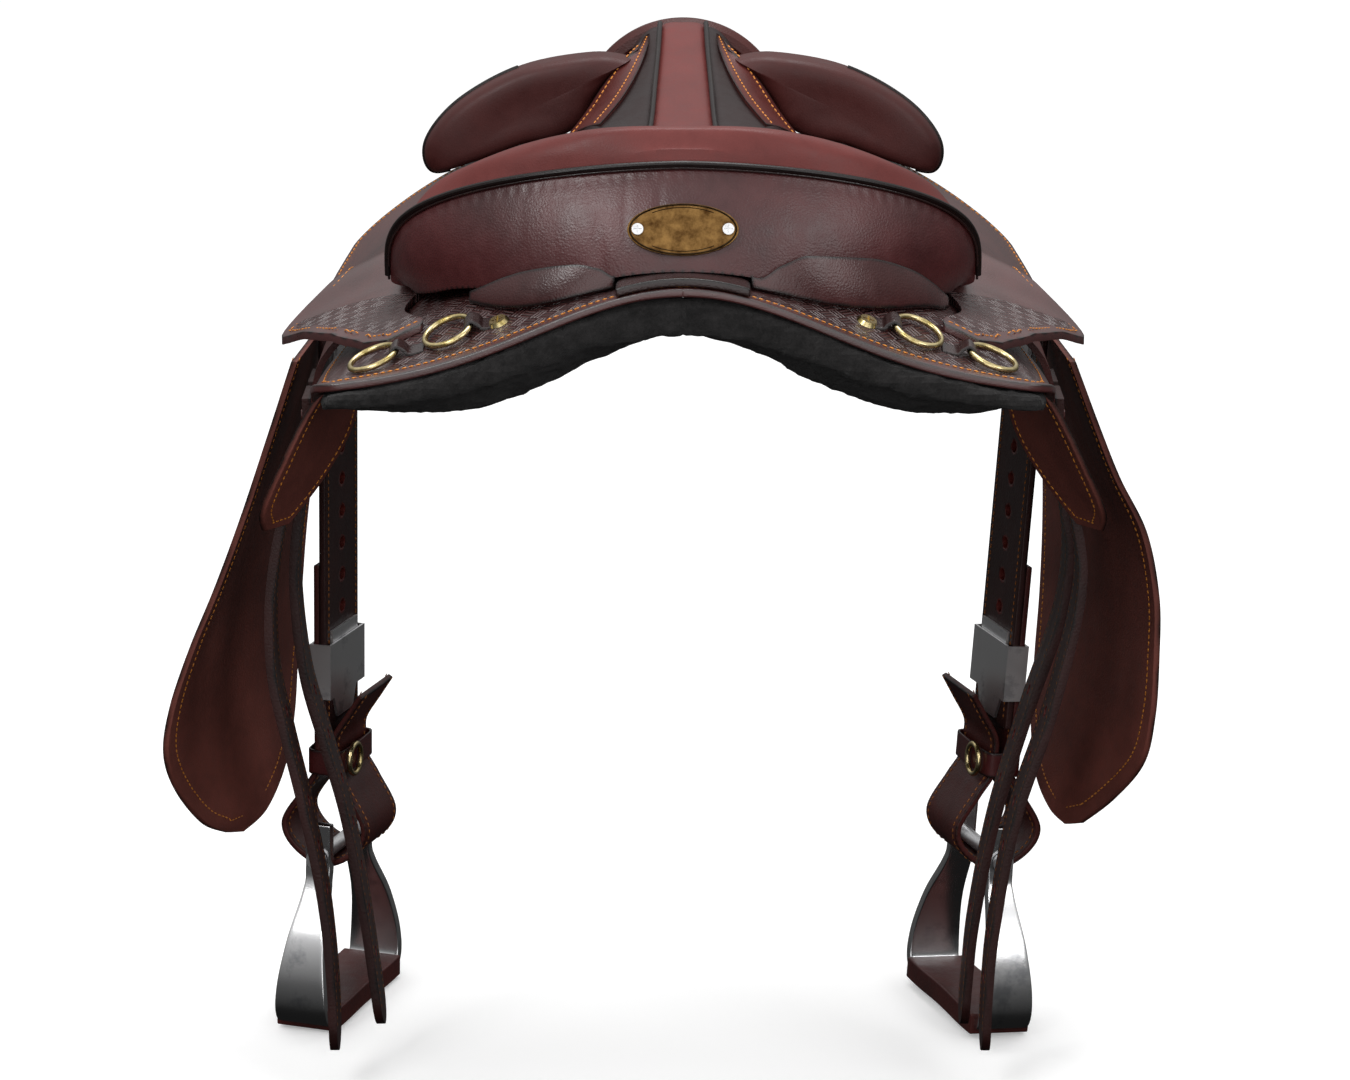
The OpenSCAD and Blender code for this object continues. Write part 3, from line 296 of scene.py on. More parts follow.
# The hidden tree: pale wood under a thin sealer, which takes the same pores and drift.
WOOD = leather("sealed_wooden_tree", "#6b4c35", "#4d3524", "#2e2017", rough=0.6, pore=3, drift=30)
print("hides:", [m.name for m in (SEAT, PAD, FACING, CANTLE, SKIRT, STRAP, FLESH, PIPE, DARK,
                                  LATIGO, LIP, WOOD)])

# %% [markdown]
# ## Thread, felt and metal
# Waxed nylon thread is a bright orange twist. Felt is pressed black wool: no gloss, a haze of
# fibres and soft lumps. The brass is cast and aged, bright where hands rub it and brown in its
# hollows. The stirrups are polished cast aluminium and the buckles are stainless steel sheet.


# %% Thread, felt and metal
def thread(name, light, dark):
    """Twisted thread: the light colour is a painted highlight on the ridge of each turn, and the
    dark colour painted shade in its groove.
    """
    material, tree, body, place = start(name, roughness=0.55, ior=1.5)
    # A real twist is under a millimetre: this one is as coarse as it needs to be to show.
    twist = add(tree, "TexWave", {"bands_direction": "DIAGONAL", "Scale": per(4.0),
                                  "Vector": place}, "Fac")
    # Painted light: the colour follows the height of the twist, with painted shade in its grooves
    # and a painted highlight on its ridges.
    colour = add(tree, "ValToRGB", {"stops": [(0.1, dark), (0.8, light)], "Fac": twist})
    bump = add(tree, "Bump", {"Strength": 0.4, "Distance": 0.2 * MM, "Height": twist})
    tree.links.new(colour, body.inputs["Base Color"])
    tree.links.new(bump, body.inputs["Normal"])
    return material


def fibres(name, light, dark, hair=1.6):
    """A matt fibrous material in soft lumps, with hairs of this width in millimetres.

    Wool fibres are far finer, so the hairs stand for small tufts that are coarse enough to show.
    """
    material, tree, body, place = start(name, roughness=0.95, ior=1.4, specular_ior_level=0.1,
                                        sheen_weight=0.1, sheen_roughness=0.6)
    lumps = add(tree, "TexNoise", {"Scale": per(14), "Detail": 6.0, "Roughness": 0.7,
                                   "Vector": place})
    hairs = add(tree, "TexNoise", {"Scale": per(hair), "Detail": 8.0, "Roughness": 0.75,
                                   "Distortion": 1.6, "Vector": place})
    both = add(tree, "Math", {"operation": "MULTIPLY", 0: lumps, 1: hairs})
    colour = add(tree, "ValToRGB", {"stops": [(0.15, dark), (0.42, light)], "Fac": both})
    bump = add(tree, "Bump", {"Strength": 0.9, "Distance": 1.2 * MM, "Height": hairs})
    tree.links.new(colour, body.inputs["Base Color"])
    tree.links.new(bump, body.inputs["Normal"])
    return material


def metal(name, light, dark, rough, spot=12, scratch=0.2, age=0.5):
    """Metal whose dark and dull spots, of this size in millimetres, grow with its age."""
    material, tree, body, place = start(name, roughness=rough, metallic=1.0)
    stain = add(tree, "TexNoise", {"Scale": per(spot), "Detail": 6.0, "Roughness": 0.65,
                                   "Vector": place})
    colour = add(tree, "ValToRGB", {"stops": [(0.32, dark), (0.32 + 0.4 * age, light)],
                                    "Fac": stain})
    shine = add(tree, "MapRange", {"Value": stain, "From Min": 0.3, "From Max": 0.7,
                                   "To Min": rough + 0.18 * age, "To Max": rough})
    fine = add(tree, "TexNoise", {"Scale": per(0.8), "Detail": 3.0, "Roughness": 0.6,
                                  "Vector": place})
    bump = add(tree, "Bump", {"Strength": scratch, "Distance": 0.15 * MM, "Height": fine})
    for socket, value in (("Base Color", colour), ("Roughness", shine), ("Normal", bump)):
        tree.links.new(value, body.inputs[socket])
    return material


# Bright orange rows that draw every edge of the leather, with the darker orange painted as shade in
# the grooves of the twist.
ORANGE = thread("waxed_orange_thread", "#e8983a", "#b86a22")
# The duller thread of the harness straps, with the darker tan painted as shade in the grooves of
# the twist.
TAN = thread("waxed_tan_thread", "#a5652f", "#7c4a24")
# A black that takes no highlight, under the glossy skirts.
FELT = fibres("pressed_black_felt", "#383636", "#151414")
# Cream webbing and foam of the hidden ground seat.
WEB = fibres("woven_webbing", "#b9ad8c", "#8c8163", hair=2.5)
FOAM = fibres("latex_foam", "#d9d0ac", "#bfb58e", hair=3.0)
# Pale gold rings and screws, with brown in their hollows.
BRASS = metal("aged_cast_brass", "#dccb9a", "#93803f", 0.2, spot=10, age=0.6)
# The brown, spotted badge and its almost black lines.
BADGE = metal("etched_aged_brass", "#8b6a3e", "#4a3219", 0.42, spot=7, scratch=0.5, age=0.9)
BADGE_LINE = metal("blackened_brass", "#3a2c1c", "#1c140d", 0.5, spot=5, age=0.8)
# Satin grey buckles, duller than the mirror of the stirrups.
STEEL = metal("stainless_steel_sheet", "#e9e9ea", "#c4c4c6", 0.36, spot=18, age=0.3)
ALUMINIUM = metal("polished_cast_aluminium", "#dcdcdd", "#b4b5b8", 0.16, spot=25, age=0.35)
print("thread, felt and metal:", [m.name for m in (ORANGE, TAN, FELT, WEB, FOAM, BRASS, BADGE,
                                                   BADGE_LINE, STEEL, ALUMINIUM)])

# %% [markdown]
# ## Floor finish and world
# A studio's pale paper stays nearly white behind the object. The floor could be lit brighter, but
# the lamps would then burn out the leather, so it glows faintly by itself instead. The world is a
# ramp from dark below to bright above: leather seen at a low angle mirrors it as a pale haze, and
# surfaces that face down stay dark.

# %% Floor finish and world
FLOOR, tree, body, place = start("pale_floor", roughness=0.8, emission_strength=0.3)
tone = add(tree, "TexNoise", {"Scale": 3.0, "Detail": 2.0, "Vector": place})
tone = add(tree, "ValToRGB", {"stops": [(0.3, "#f4f4f4"), (0.7, "#f7f7f7")], "Fac": tone})
body.inputs["Emission Color"].default_value = (1, 1, 1, 1)
tree.links.new(tone, body.inputs["Base Color"])
floor.data.materials.append(FLOOR)

SKY = [(0.0, "#1a1a1a"), (0.33, "#5c5c5c"), (0.52, "#a0a0a0"), (0.8, "#f6f6f6"), (1.0, "#ffffff")]
world = bpy.data.worlds.new("studio")
world.use_nodes = True
tree = world.node_tree
up = add(tree, "SeparateXYZ", {"Vector": add(tree, "TexCoord", {}, "Generated")}, "Z")
glow = add(tree, "MapRange", {"Value": up, "From Min": -0.5, "From Max": 1.0})
glow = add(tree, "ValToRGB", {"stops": SKY, "Fac": glow})
tree.links.new(glow, tree.nodes["Background"].inputs["Color"])
tree.nodes["Background"].inputs["Strength"].default_value = 1.0
bpy.context.scene.world = world
print("steps of the sky:", len(SKY))

# %% [markdown]
# ## Curves and the back of the horse
# The skirts and jockeys are bent over a horse's back. Two arches give its height, a low one at the
# loin and a steeper one under the rider, and the leather blends from one to the other.
# All lengths from here on are in millimetres, and pieces are turned to metres when they are made.


# %% Curves and heights
def blend(a, b, t):
    return a + (b - a) * t


def ease(t):
    """A soft step from 0 to 1."""
    t = min(max(t, 0), 1)
    return t * t * (3 - 2 * t)


def spline_at(p, t):
    """The point at t, from 0 to 1, of the smooth curve through evenly spaced points."""
    n = len(p) - 1
    s = min(max(t, 0), 1) * n
    i = min(int(s), n - 1)
    f = s - i
    a, b, c, d = p[max(i - 1, 0)], p[i], p[i + 1], p[min(i + 2, n)]
    return (b + (c - a) * f / 2 + (2 * a - 5 * b + 4 * c - d) * (f * f / 2)
            + (3 * (b - c) + d - a) * (f ** 3 / 2))


def line_of(*points):
    return [Vector(p) for p in points]


@lru_cache(None)
def table(p, x):
    """Value at x of the smooth curve through pairs of numbers."""
    i = max([k for k in range(len(p) - 1) if x >= p[k][0]] or [0])
    u = min(max((x - p[i][0]) / (p[i + 1][0] - p[i][0]), 0), 1)
    return spline_at([q[1] for q in p], (i + u) / (len(p) - 1))


def rear_height(x):
    """The low arch at the loin: 48 high, and 61 lower far out."""
    return 48 - 61 * (1 - math.exp(-(x / 120) ** 2))


def mid_height(x):
    """The steep arch under the rider: flat over the spine, then 102 lower at 250 out."""
    return 40 - 102 * (max(abs(x) - 60, 0) / 190) ** 2


SKIRT_REAR, LOIN_LONG = -300, 92


def deck(x, y):
    """Height of the top of the skirts."""
    return blend(rear_height(x), mid_height(x), ease((y - SKIRT_REAR) / LOIN_LONG))


print("deck at the loin:", [round(deck(x, SKIRT_REAR)) for x in (0, 100, 200)],
      "under the rider:", [round(deck(x, 0)) for x in (0, 100, 200)])

# %% [markdown]
# ## The border of a piece
# A cut piece of leather is known by its border: the edge is rubbed dark along it and the thread
# follows it. Each piece is drawn on a unit square of u and v, so one walk round that square gives
# both the "rim" value of every vertex and the route of the stitches.


# %% Borders
def border(sides, count=100):
    """Points round the border of a unit square: c is v=0, b is u=1, d is v=1 and a is u=0."""
    way = {"c": lambda t: (t, 0), "b": lambda t: (1, t),
           "d": lambda t: (1 - t, 1), "a": lambda t: (0, 1 - t)}
    return [way[s](i / count) for s in sides for i in range(count)] + [way[sides[-1]](1)]


def cut_corners(u, v, corners, share):
    """Draws the named corners of the unit square in to quarter rounds."""
    for cu, cv in corners:
        a = (u - 1 + share[0] if cu else share[0] - u) / share[0]
        b = (v - 1 + share[1] if cv else share[1] - v) / share[1]
        if a > 0 and b > 0:
            a, b = a * math.sqrt(1 - b * b / 2), b * math.sqrt(1 - a * a / 2)
            u = 1 - share[0] + a * share[0] if cu else share[0] * (1 - a)
            v = 1 - share[1] + b * share[1] if cv else share[1] * (1 - b)
    return u, v


def mark(piece, name, values):
    """Stores one number for each vertex under this name, for a material to read."""
    layer = piece.data.attributes.new(name, "FLOAT", "POINT")
    layer.data.foreach_set("value", values)


def near_to(line):
    """A tree that finds the nearest point of a line quickly."""
    tree = KDTree(len(line))
    for i, point in enumerate(line):
        tree.insert(point, i)
    tree.balance()
    return tree


def mark_rim(piece, line):
    """Stores how near each vertex is to the cut edge, whose points are in metres."""
    tree = near_to(line)
    near = [tree.find(v.co)[2] / MM for v in piece.data.vertices]
    mark(piece, "rim", [max(0.0, 1 - d / RIM_REACH) for d in near])


print("points of a whole border:", len(border("cbda")))

# %% [markdown]
# ## A bent sheet of leather
# A leather piece is a flat grid that gets a wall, is bent over its form vertex by vertex, and has
# its cut edges rounded as an edge tool would. It could be cut from a block, but bending a grid
# keeps the faces even, so that the light runs smoothly over the bend.

# %% Bent sheets
ROUND_OVER, SMOOTH_UP_TO = 50, 35     # degrees: edges sharper than these are rounded, or kept sharp


def shape_edges(piece, edge):
    """Points faces outwards, rounds the sharp edges by this many mm and smooths the rest."""
    bpy.context.view_layer.objects.active = piece
    bpy.ops.object.mode_set(mode="EDIT")
    bpy.ops.mesh.select_all(action="SELECT")
    bpy.ops.mesh.normals_make_consistent(inside=False)
    bpy.ops.object.mode_set(mode="OBJECT")
    if edge:
        rounding = piece.modifiers.new("rounding", "BEVEL")
        rounding.width, rounding.segments = edge * MM, 3
        rounding.limit_method, rounding.angle_limit = "ANGLE", math.radians(ROUND_OVER)
        bpy.ops.object.modifier_apply(modifier="rounding")
    bpy.ops.object.shade_smooth_by_angle(angle=math.radians(SMOOTH_UP_TO))


def sheet(name, cols, rows, outside, inside, edge=1.2, corners=(), share=(0.1, 0.1), cut="cbda",
          plan=False):
    """A grid bent between two surfaces, each a function of u and v that gives millimetres.

    The named corners are rounded, and cut names the sides that are a cut edge. The pattern of the
    skin is laid out flat, or seen from above where plan is true.
    """
    bpy.ops.mesh.primitive_grid_add(x_subdivisions=cols, y_subdivisions=rows, size=1,
                                    location=(0.5, 0.5, 0))
    piece = bpy.context.object
    piece.name = piece.data.name = name
    bpy.ops.object.transform_apply()
    wall = piece.modifiers.new("wall", "SOLIDIFY")
    wall.thickness, wall.offset = 1, 0
    bpy.ops.object.modifier_apply(modifier="wall")
    flat = [cut_corners(v.co.x, v.co.y, corners, share) for v in piece.data.vertices]
    for vertex, (u, v) in zip(piece.data.vertices, flat):
        vertex.co = Vector((outside if vertex.co.z > 0 else inside)(u, v)) * MM
    middle = ([Vector(outside(0.5, i / 20)) for i in range(21)],
              [Vector(outside(i / 20, 0.5)) for i in range(21)])
    long, wide = (sum((b - a).length for a, b in zip(p, p[1:])) * MM for p in middle)
    skin = piece.data.uv_layers[0]
    skin.name = "skin"
    for loop, spot in zip(piece.data.loops, skin.data):
        at, point = flat[loop.vertex_index], piece.data.vertices[loop.vertex_index].co
        spot.uv = (point.x, point.y) if plan else (at[0] * wide, at[1] * long)
    shape_edges(piece, edge)
    line = [Vector(outside(*cut_corners(u, v, corners, share))) * MM for u, v in border(cut)]
    mark_rim(piece, line)
    piece.select_set(False)
    return piece


def dress(piece, material, body, slot, *nodes):
    """Gives a piece its finish, the body it moves with, and the CAD nodes it stands for."""
    piece.data.materials.clear()
    piece.data.materials.append(material)
    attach(piece, body)
    if nodes:
        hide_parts(*nodes)
    return piece


print("edges are rounded above degrees:", ROUND_OVER)

# %% [markdown]
# ## Thread
# A stitch is a short, fat spindle of thread that sinks a little into the leather. One is modelled
# from a small ball with 24 faces and copied along a line; a whole row is one mesh, because a
# saddle has some thousands of stitches. An inset line follows the border of a sheet at the
# distance that a stitching groover would keep.


# %% Stitches
PITCH = 4.3     # from one stitch to the next
KEPT = 0.93     # share of the inset below which a point has come too near another edge


def inset_line(surface, route, inset):
    """Points and normals along a border of a surface, moved in from the edge."""
    line = []
    points = [Vector(surface(u, v)) for u, v in route]
    for i, (u, v) in enumerate(route):
        ahead = points[min(i + 1, len(route) - 1)] - points[max(i - 1, 0)]
        ahead.normalize()
        inner = Vector(surface(blend(u, 0.5, 0.06), blend(v, 0.5, 0.06))) - points[i]
        inner -= ahead * inner.dot(ahead)
        inner.normalize()
        line.append((points[i] + inner * inset, ahead.cross(inner).normalized()))
    tree = near_to(points)
    return [(p, n) for p, n in line if tree.find(p)[2] > KEPT * inset]


def stitches(name, line, body, kind=ORANGE, pitch=PITCH, long=3.2, wide=1.05, lift=0.2,
             toward=None):
    """A row of stitches along points and normals; toward(point) says which way is outwards."""
    bpy.ops.mesh.primitive_uv_sphere_add(segments=6, ring_count=4, radius=0.5)
    row = bpy.context.object
    shape = [v.co.copy() for v in row.data.vertices]
    faces = [tuple(f.vertices) for f in row.data.polygons]
    points, walls = [], []
    gone = 0.0
    for (a, n), (b, _) in zip(line, line[1:]):
        step = (b - a).length
        along = (b - a).normalized()
        while step > 0 and gone <= step:
            centre = a + along * gone
            up = n - along * n.dot(along)
            up.normalize()
            if toward is not None and up.dot(toward(centre)) < 0:
                up = -up
            side = along.cross(up)
            base = len(points)
            points += [(centre + along * p.z * long + side * p.x * wide
                        + up * (p.y * wide * 0.8 + lift)) * MM for p in shape]
            walls += [tuple(base + k for k in f) for f in faces]
            gone += pitch
        gone -= step
    row.data.clear_geometry()
    row.data.from_pydata(points, [], walls)
    row.name = row.data.name = name
    shape_edges(row, 0)
    row.select_set(False)
    return dress(row, kind, body, "lace_leather")


def toward_sky(point):
    return Vector((0, 0, 1))


print("stitches in 100 mm:", round(100 / PITCH))

# %% [markdown]
# ## Cords
# A piping is a thin strip of hide folded round a cord and sewn into a seam. A curve with a round
# bevel makes the same shape from the points of the seam. It is turned to a mesh, so that it has
# real faces like every other piece.


# %% Cords
def cord(name, points, thick, material, body, slot, *nodes):
    """A round cord through points in millimetres, with closed ends."""
    path = bpy.data.curves.new(name, "CURVE")
    path.dimensions = "3D"
    path.bevel_depth, path.bevel_resolution, path.use_fill_caps = thick / 2 * MM, 3, True
    line = path.splines.new("POLY")
    line.points.add(len(points) - 1)
    for spot, point in zip(line.points, points):
        spot.co = (*(Vector(point) * MM), 1)
    piece = bpy.data.objects.new(name, path)
    bpy.context.collection.objects.link(piece)
    bpy.context.view_layer.objects.active = piece
    piece.select_set(True)
    bpy.ops.object.convert(target="MESH")
    piece = bpy.context.object
    shape_edges(piece, 0)
    piece.select_set(False)
    return dress(piece, material, body, slot, *nodes)


def report(*pieces):
    """Prints the faces of each piece."""
    print(*(f"{piece.name}: {len(piece.data.polygons)} faces" for piece in pieces), sep="\n")


# %% [markdown]
# ## Felt and skirts
# Under everything lie two pads of pressed felt, thick beside the spine and pillowed below, with a
# channel between them. Each could be a block with bevels, but felt has no crisp edge anywhere, so
# the bent pad is rebuilt in small cells, smoothed, and roughened by a lumpy noise in two sizes.
# The skirts above are one bent sheet each, stamped with a basket weave inside a plain border.

# %% Felt and skirts
SKIRT_EDGE = ((-300, 215), (-270, 219), (-180, 222), (-120, 211), (-60, 196), (0, 186), (90, 178),
              (180, 170))
SKIRT_WALL, FELT_GAP = 5, 6.5
SKIRT_ROUND = dict(corners=((1, 0), (1, 1)), share=(0.06, 0.03))
WEAVE_STARTS = 0.72     # rim value where the plain border ends


def roughen(piece, size, amount):
    """Moves each vertex along its normal by a lumpy noise of this size, in millimetres."""
    moves = [v.normal * noise.noise(v.co * per(size)) * amount * MM for v in piece.data.vertices]
    for vertex, move in zip(piece.data.vertices, moves):
        vertex.co += move


def skirt_point(sgn, drop, u, v):
    """A point of a skirt, this far below its top."""
    y = blend(SKIRT_REAR, 180, v)
    x = blend(-0.7, table(SKIRT_EDGE, y), u)
    y += 10 * ease((-y - 250) / 50) * u     # the rear edge is drawn in towards the corner
    return sgn * x, y, deck(x, y) - drop


def felt_point(sgn, under, u, v):
    """A point of the top of a felt pad, or of its pillowed underside."""
    y = blend(-297, 167, v)
    edge = table(SKIRT_EDGE, y) - 6 - 24 * ease((y + 235) / 60)
    x = blend(blend(-3, 30, ease((y - SKIRT_REAR) / 90)), edge, u)
    drop = FELT_GAP
    if under:
        pillow = math.sin(math.pi * u) ** 1.3
        drop += blend(23.5, 8.5, u) + 31 * ease((y - SKIRT_REAR) / 50) * pillow
    return sgn * x, y + 1.5, deck(x, y) - drop


for side, sgn in SIDES.items():
    felt = sheet("felt_pad_" + side, 36, 80, partial(felt_point, sgn, 0),
                 partial(felt_point, sgn, 1), edge=0)
    bpy.context.view_layer.objects.active = felt
    cells = felt.modifiers.new("cells", "REMESH")
    cells.mode, cells.voxel_size = "VOXEL", 0.0034
    bpy.ops.object.modifier_apply(modifier="cells")
    soft = felt.modifiers.new("soft", "SMOOTH")
    soft.factor, soft.iterations = 0.5, 3
    bpy.ops.object.modifier_apply(modifier="soft")
    roughen(felt, 16, 1.8)
    roughen(felt, 5, 1.0)
    shape_edges(felt, 0)
    dress(felt, FELT, "saddle", "felt", "felt_panel_" + side)
    skirt = sheet("skirt_skin_" + side, 44, 96, partial(skirt_point, sgn, 0),
                  partial(skirt_point, sgn, SKIRT_WALL), cut="cbd", plan=True, **SKIRT_ROUND)
    rim = skirt.data.attributes["rim"].data
    mark(skirt, "tool", [ease((WEAVE_STARTS - r.value) / 0.06) for r in rim])
    dress(skirt, SKIRT, "saddle", "skirt_leather", "skirt_" + side)
    top = lambda u, v: skirt_point(sgn, 0, *cut_corners(u, v, **SKIRT_ROUND))
    stitches("skirt_stitching_" + side, inset_line(top, border("cb", 160), 8), "saddle",
             toward=toward_sky)
    report(felt, skirt)

# %% [markdown]
# ## The tab that joins the skirts
# Behind the cantle a small dark tab lies over the gap between the two skirts. It is the same bent
# sheet, with its two rear corners square and its two front corners round.


# %% Skirt tab
def tab_point(lift, u, v):
    x, y = blend(-39, 39, u), blend(-298, -264, v)
    return x, y, deck(x, y) + lift


tab = sheet("skirt_join", 26, 12, partial(tab_point, 5.9), partial(tab_point, 0.9),
            corners=((0, 1), (1, 1)), share=(0.2, 0.4))
report(dress(tab, DARK, "saddle", "skirt_leather", "skirt_join_tab"))

# %% [markdown]
# ## The form of the seat
# The seat is one padded cover: a tall roll round the cantle, a dished middle and a narrow twist up
# to the pommel. Several pieces meet along its border, so its outline and heights are written once
# as functions and used by the seat, the cantle, the pipings and the jockeys. Sculpting would give
# the same form, but then no neighbour could follow it exactly.

# %% Seat form
SEAT_WIDTH = ((-150, 178), (-120, 176), (-80, 160), (-40, 134), (0, 111), (50, 90), (100, 68),
              (150, 54), (200, 52))
SEAT_LINE = ((-243, 120), (-235, 131), (-222, 129), (-200, 117), (-170, 99), (-120, 81),
             (-60, 72), (0, 77), (50, 88), (100, 104), (150, 121), (190, 133), (202, 131))
RIM_HALF, RIM_DEEP, RIM_Y = 178, 95, -150     # half axes and middle of the cantle's half ellipse
SEAT_WALL, JOCKEY_WALL = 3, 5


def rim_height(c):
    """Height of the cantle's rim where the cosine of the angle round it is c."""
    return 42 + 70 * max(c, 0) ** 0.6


def rim_share(y):
    """How far back a point is on the round of the cantle, from 0 at its sides to 1."""
    return min(max((RIM_Y - y) / RIM_DEEP, 0), 1)


def rim_drop(y):
    """How far the piping sinks below the crown of the roll towards the sides of the seat."""
    return 15 * (1 - rim_share(y)) ** 0.7 * (1 - ease((y - RIM_Y) / 70))


def rim_point(a, out=0):
    """A point of the piping round the cantle, at an angle in radians, moved outwards."""
    c = math.cos(a)
    return Vector(((RIM_HALF + out) * math.sin(a), RIM_Y - (RIM_DEEP + out) * c,
                   rim_height(c) - rim_drop(RIM_Y - RIM_DEEP * c)))


def seat_half(y):
    """Half the width of the seat."""
    if y < RIM_Y:
        return RIM_HALF * math.sqrt(max(1 - ((y - RIM_Y) / RIM_DEEP) ** 2, 0))
    return table(SEAT_WIDTH, y)


def jockey_lift(y):
    """How far the side jockeys lie above the skirts, where the tree bar is between them."""
    return 0.3 + 17.9 * ease((y + 125) / 50)


def seat_edge(y):
    """Height of the border of the seat: the cantle's rim, then the jockeys, then the pommel."""
    rim = rim_height(rim_share(y))
    if y < RIM_Y:
        return rim
    low = deck(seat_half(y), y) + jockey_lift(y) + JOCKEY_WALL + 0.9 + SEAT_WALL
    return blend(blend(rim, low, ease((y - RIM_Y) / 80)), 68, ease((y - 60) / 140))


def seat_top(x, y):
    """Height of the seat: its middle line, then an ever steeper fall to its border."""
    u = min(abs(x) / max(seat_half(y), 1), 1)
    return blend(table(SEAT_LINE, y), seat_edge(y), u ** blend(4, 3.1, ease((y + 200) / 120)))


print("seat width at the cantle, the dish and the twist:",
      [round(2 * seat_half(y)) for y in (RIM_Y, 0, 150)])

# %% [markdown]
# ## The seat cover
# A light strip of soft hide runs up the middle of the seat between two black pipings, with darker
# sides. The cover is a grid whose rows follow the round of the cantle, with fine columns, so that
# the hollow beside each piping shows. The change of colour could be a painted picture; here it is
# a signed distance from the seam, which stays sharp at any size.


# %% Seat cover
STRIP_HALF = ((-60, 32), (0, 24), (50, 20.5), (100, 18.5), (150, 16.5), (190, 15.5))


def strip_edge(x, y):
    """How far a point lies outside the light middle of the seat, in millimetres."""
    beside = abs(x) - table(STRIP_HALF, max(y, -60))
    turn = y - (-62 - 26 * ease((abs(x) - 34) / 110))
    return min(beside, turn)


ROUND_ROWS, LIP_ROWS = 0.36, 0.02     # shares of the rows for the round of the cantle and its lip


def seat_row(v):
    """Where a row of the seat lies: round the cantle first, then forward to the pommel."""
    if v < ROUND_ROWS:
        return RIM_Y - 93 * math.cos(math.pi / 2 * v / ROUND_ROWS)
    return blend(RIM_Y, 196, (v - ROUND_ROWS) / 0.64)


def seat_point(drop, u, v):
    if v < LIP_ROWS:
        side = math.asin(36.3 / RIM_HALF) * (2 * u - 1)
        lip, first = rim_point(side) - Vector((0, 0, drop)), Vector(seat_point(drop, u, LIP_ROWS))
        return tuple(lip.lerp(first, v / LIP_ROWS))
    y = seat_row((v - LIP_ROWS) / 0.98)
    x = (2 * u - 1) * seat_half(y)
    z = seat_top(x, y) - drop - rim_drop(y) * ease((abs(2 * u - 1) - 0.86) / 0.14) ** 1.5
    if drop == 0:     # the hollow beside the piping, on the outer face only
        z -= 1.3 * math.exp(-(strip_edge(x, y) / 3.5) ** 2) * ease((y + 110) / 30)
    return x, y, z


seat = sheet("seat_cushion", 110, 150, partial(seat_point, 0), partial(seat_point, SEAT_WALL),
             edge=0.8)
mark(seat, "panel", [strip_edge(v.co.x / MM, v.co.y / MM) for v in seat.data.vertices])
dress(seat, SEAT, "saddle", "seat_leather", "seat_cover")

for side, sgn in SIDES.items():
    line = [(sgn * blend(150, 34, t), -87 + 25 * ease(t)) for t in (i / 20 for i in range(20))]
    line += [(sgn * table(STRIP_HALF, y), y) for y in (blend(-60, 190, i / 50) for i in range(51))]
    cord("seat_piping_" + side, [(x, y, seat_top(x, y) + 1.6) for x, y in line], 3.6, PIPE,
         "saddle", "dark_leather", *(["seat_piping"] if side == "left" else []))
report(seat)

# %% [markdown]
# ## Cantle
# The back of the cantle is one grained hide pulled down from the piping to the skirts. Pulling it
# round the curve leaves a row of small puckers under the piping and some soft upright creases.
# Both are moved into a fine bent sheet; a bump alone would not catch the light along the edge.

# %% Cantle back
FOOT_HALF, FOOT_DEEP = 164, 122     # half axes of the line where the cantle meets the skirts
HIDE_DROP = 3.3                     # from the middle of the piping down to the edge of the hide
CANTLE_ENDS = 101.5                 # degrees either side of the middle, past 90 straight forward


def foot(a, grow=0):
    """A point, seen from above, of the line round the foot of the cantle."""
    return Vector(((FOOT_HALF + grow) * math.sin(a), RIM_Y - (FOOT_DEEP + grow) * math.cos(a)))


def forward_y(degrees):
    return RIM_Y + (abs(degrees) - 90) * 2.6


def cantle_top(degrees):
    if abs(degrees) <= 90:
        return rim_point(math.radians(degrees)) - Vector((0, 0, HIDE_DROP))
    y = forward_y(degrees)
    return Vector((math.copysign(seat_half(y), degrees), y,
                   seat_edge(y) - HIDE_DROP - rim_drop(y)))


def cantle_low(degrees):
    if abs(degrees) <= 90:
        x, y = foot(math.radians(degrees))
    else:
        y = forward_y(degrees)
        x = math.copysign(seat_half(y) - RIM_HALF + FOOT_HALF, degrees)
    under = max(5.9, jockey_lift(y) + JOCKEY_WALL)
    return Vector((x, y, deck(abs(x) - 4, y + 4) + under + 0.9))


def cantle_point(degrees, v, inward, worked=True):
    """A point of the cantle's back; where worked, with its creases and puckers."""
    turn = math.radians(max(min(degrees, 90), -90))
    out = Vector((math.sin(turn), -math.cos(turn), 0))
    place = cantle_top(degrees).lerp(cantle_low(degrees), v)
    bulge = 4 * math.sin(math.pi * v) - inward
    if worked:
        run = place.x
        crease = (max(0, noise.noise(Vector((run / 9, 3.1, place.z / 90))) - 0.12)
                  * ease((70 - abs(run + 40)) / 60))
        pucker = 0.5 - 0.5 * math.cos(run * 2 * math.pi / 7.3)
        bulge -= (1.9 * crease * math.sin(math.pi * v) ** 0.7
                  + 0.55 * pucker * math.exp(-((v - 0.07) / 0.045) ** 2))
        bulge += 0.5 * noise.noise(place / 38)
    return place + out * bulge


def round_cantle(inward, worked, u, v):
    return cantle_point(blend(-CANTLE_ENDS, CANTLE_ENDS, u), v, inward, worked)


back = sheet("cantle_hide", 300, 36, partial(round_cantle, 0, True),
             partial(round_cantle, 4, False), edge=0.8, cut="d")
dress(back, CANTLE, "saddle", "strap_leather", "cantle_back")
turns = [math.radians(blend(-90, 90, i / 120)) for i in range(121)]
cord("cantle_edge_piping", [rim_point(a, 1.9) for a in turns], 3.8, PIPE, "saddle",
     "dark_leather", "cantle_piping")
cord("cantle_welt", [rim_point(a, 1.2) - Vector((0, 0, 2.6)) for a in turns], 1.6, DARK, "saddle",
     "dark_leather")
report(back)

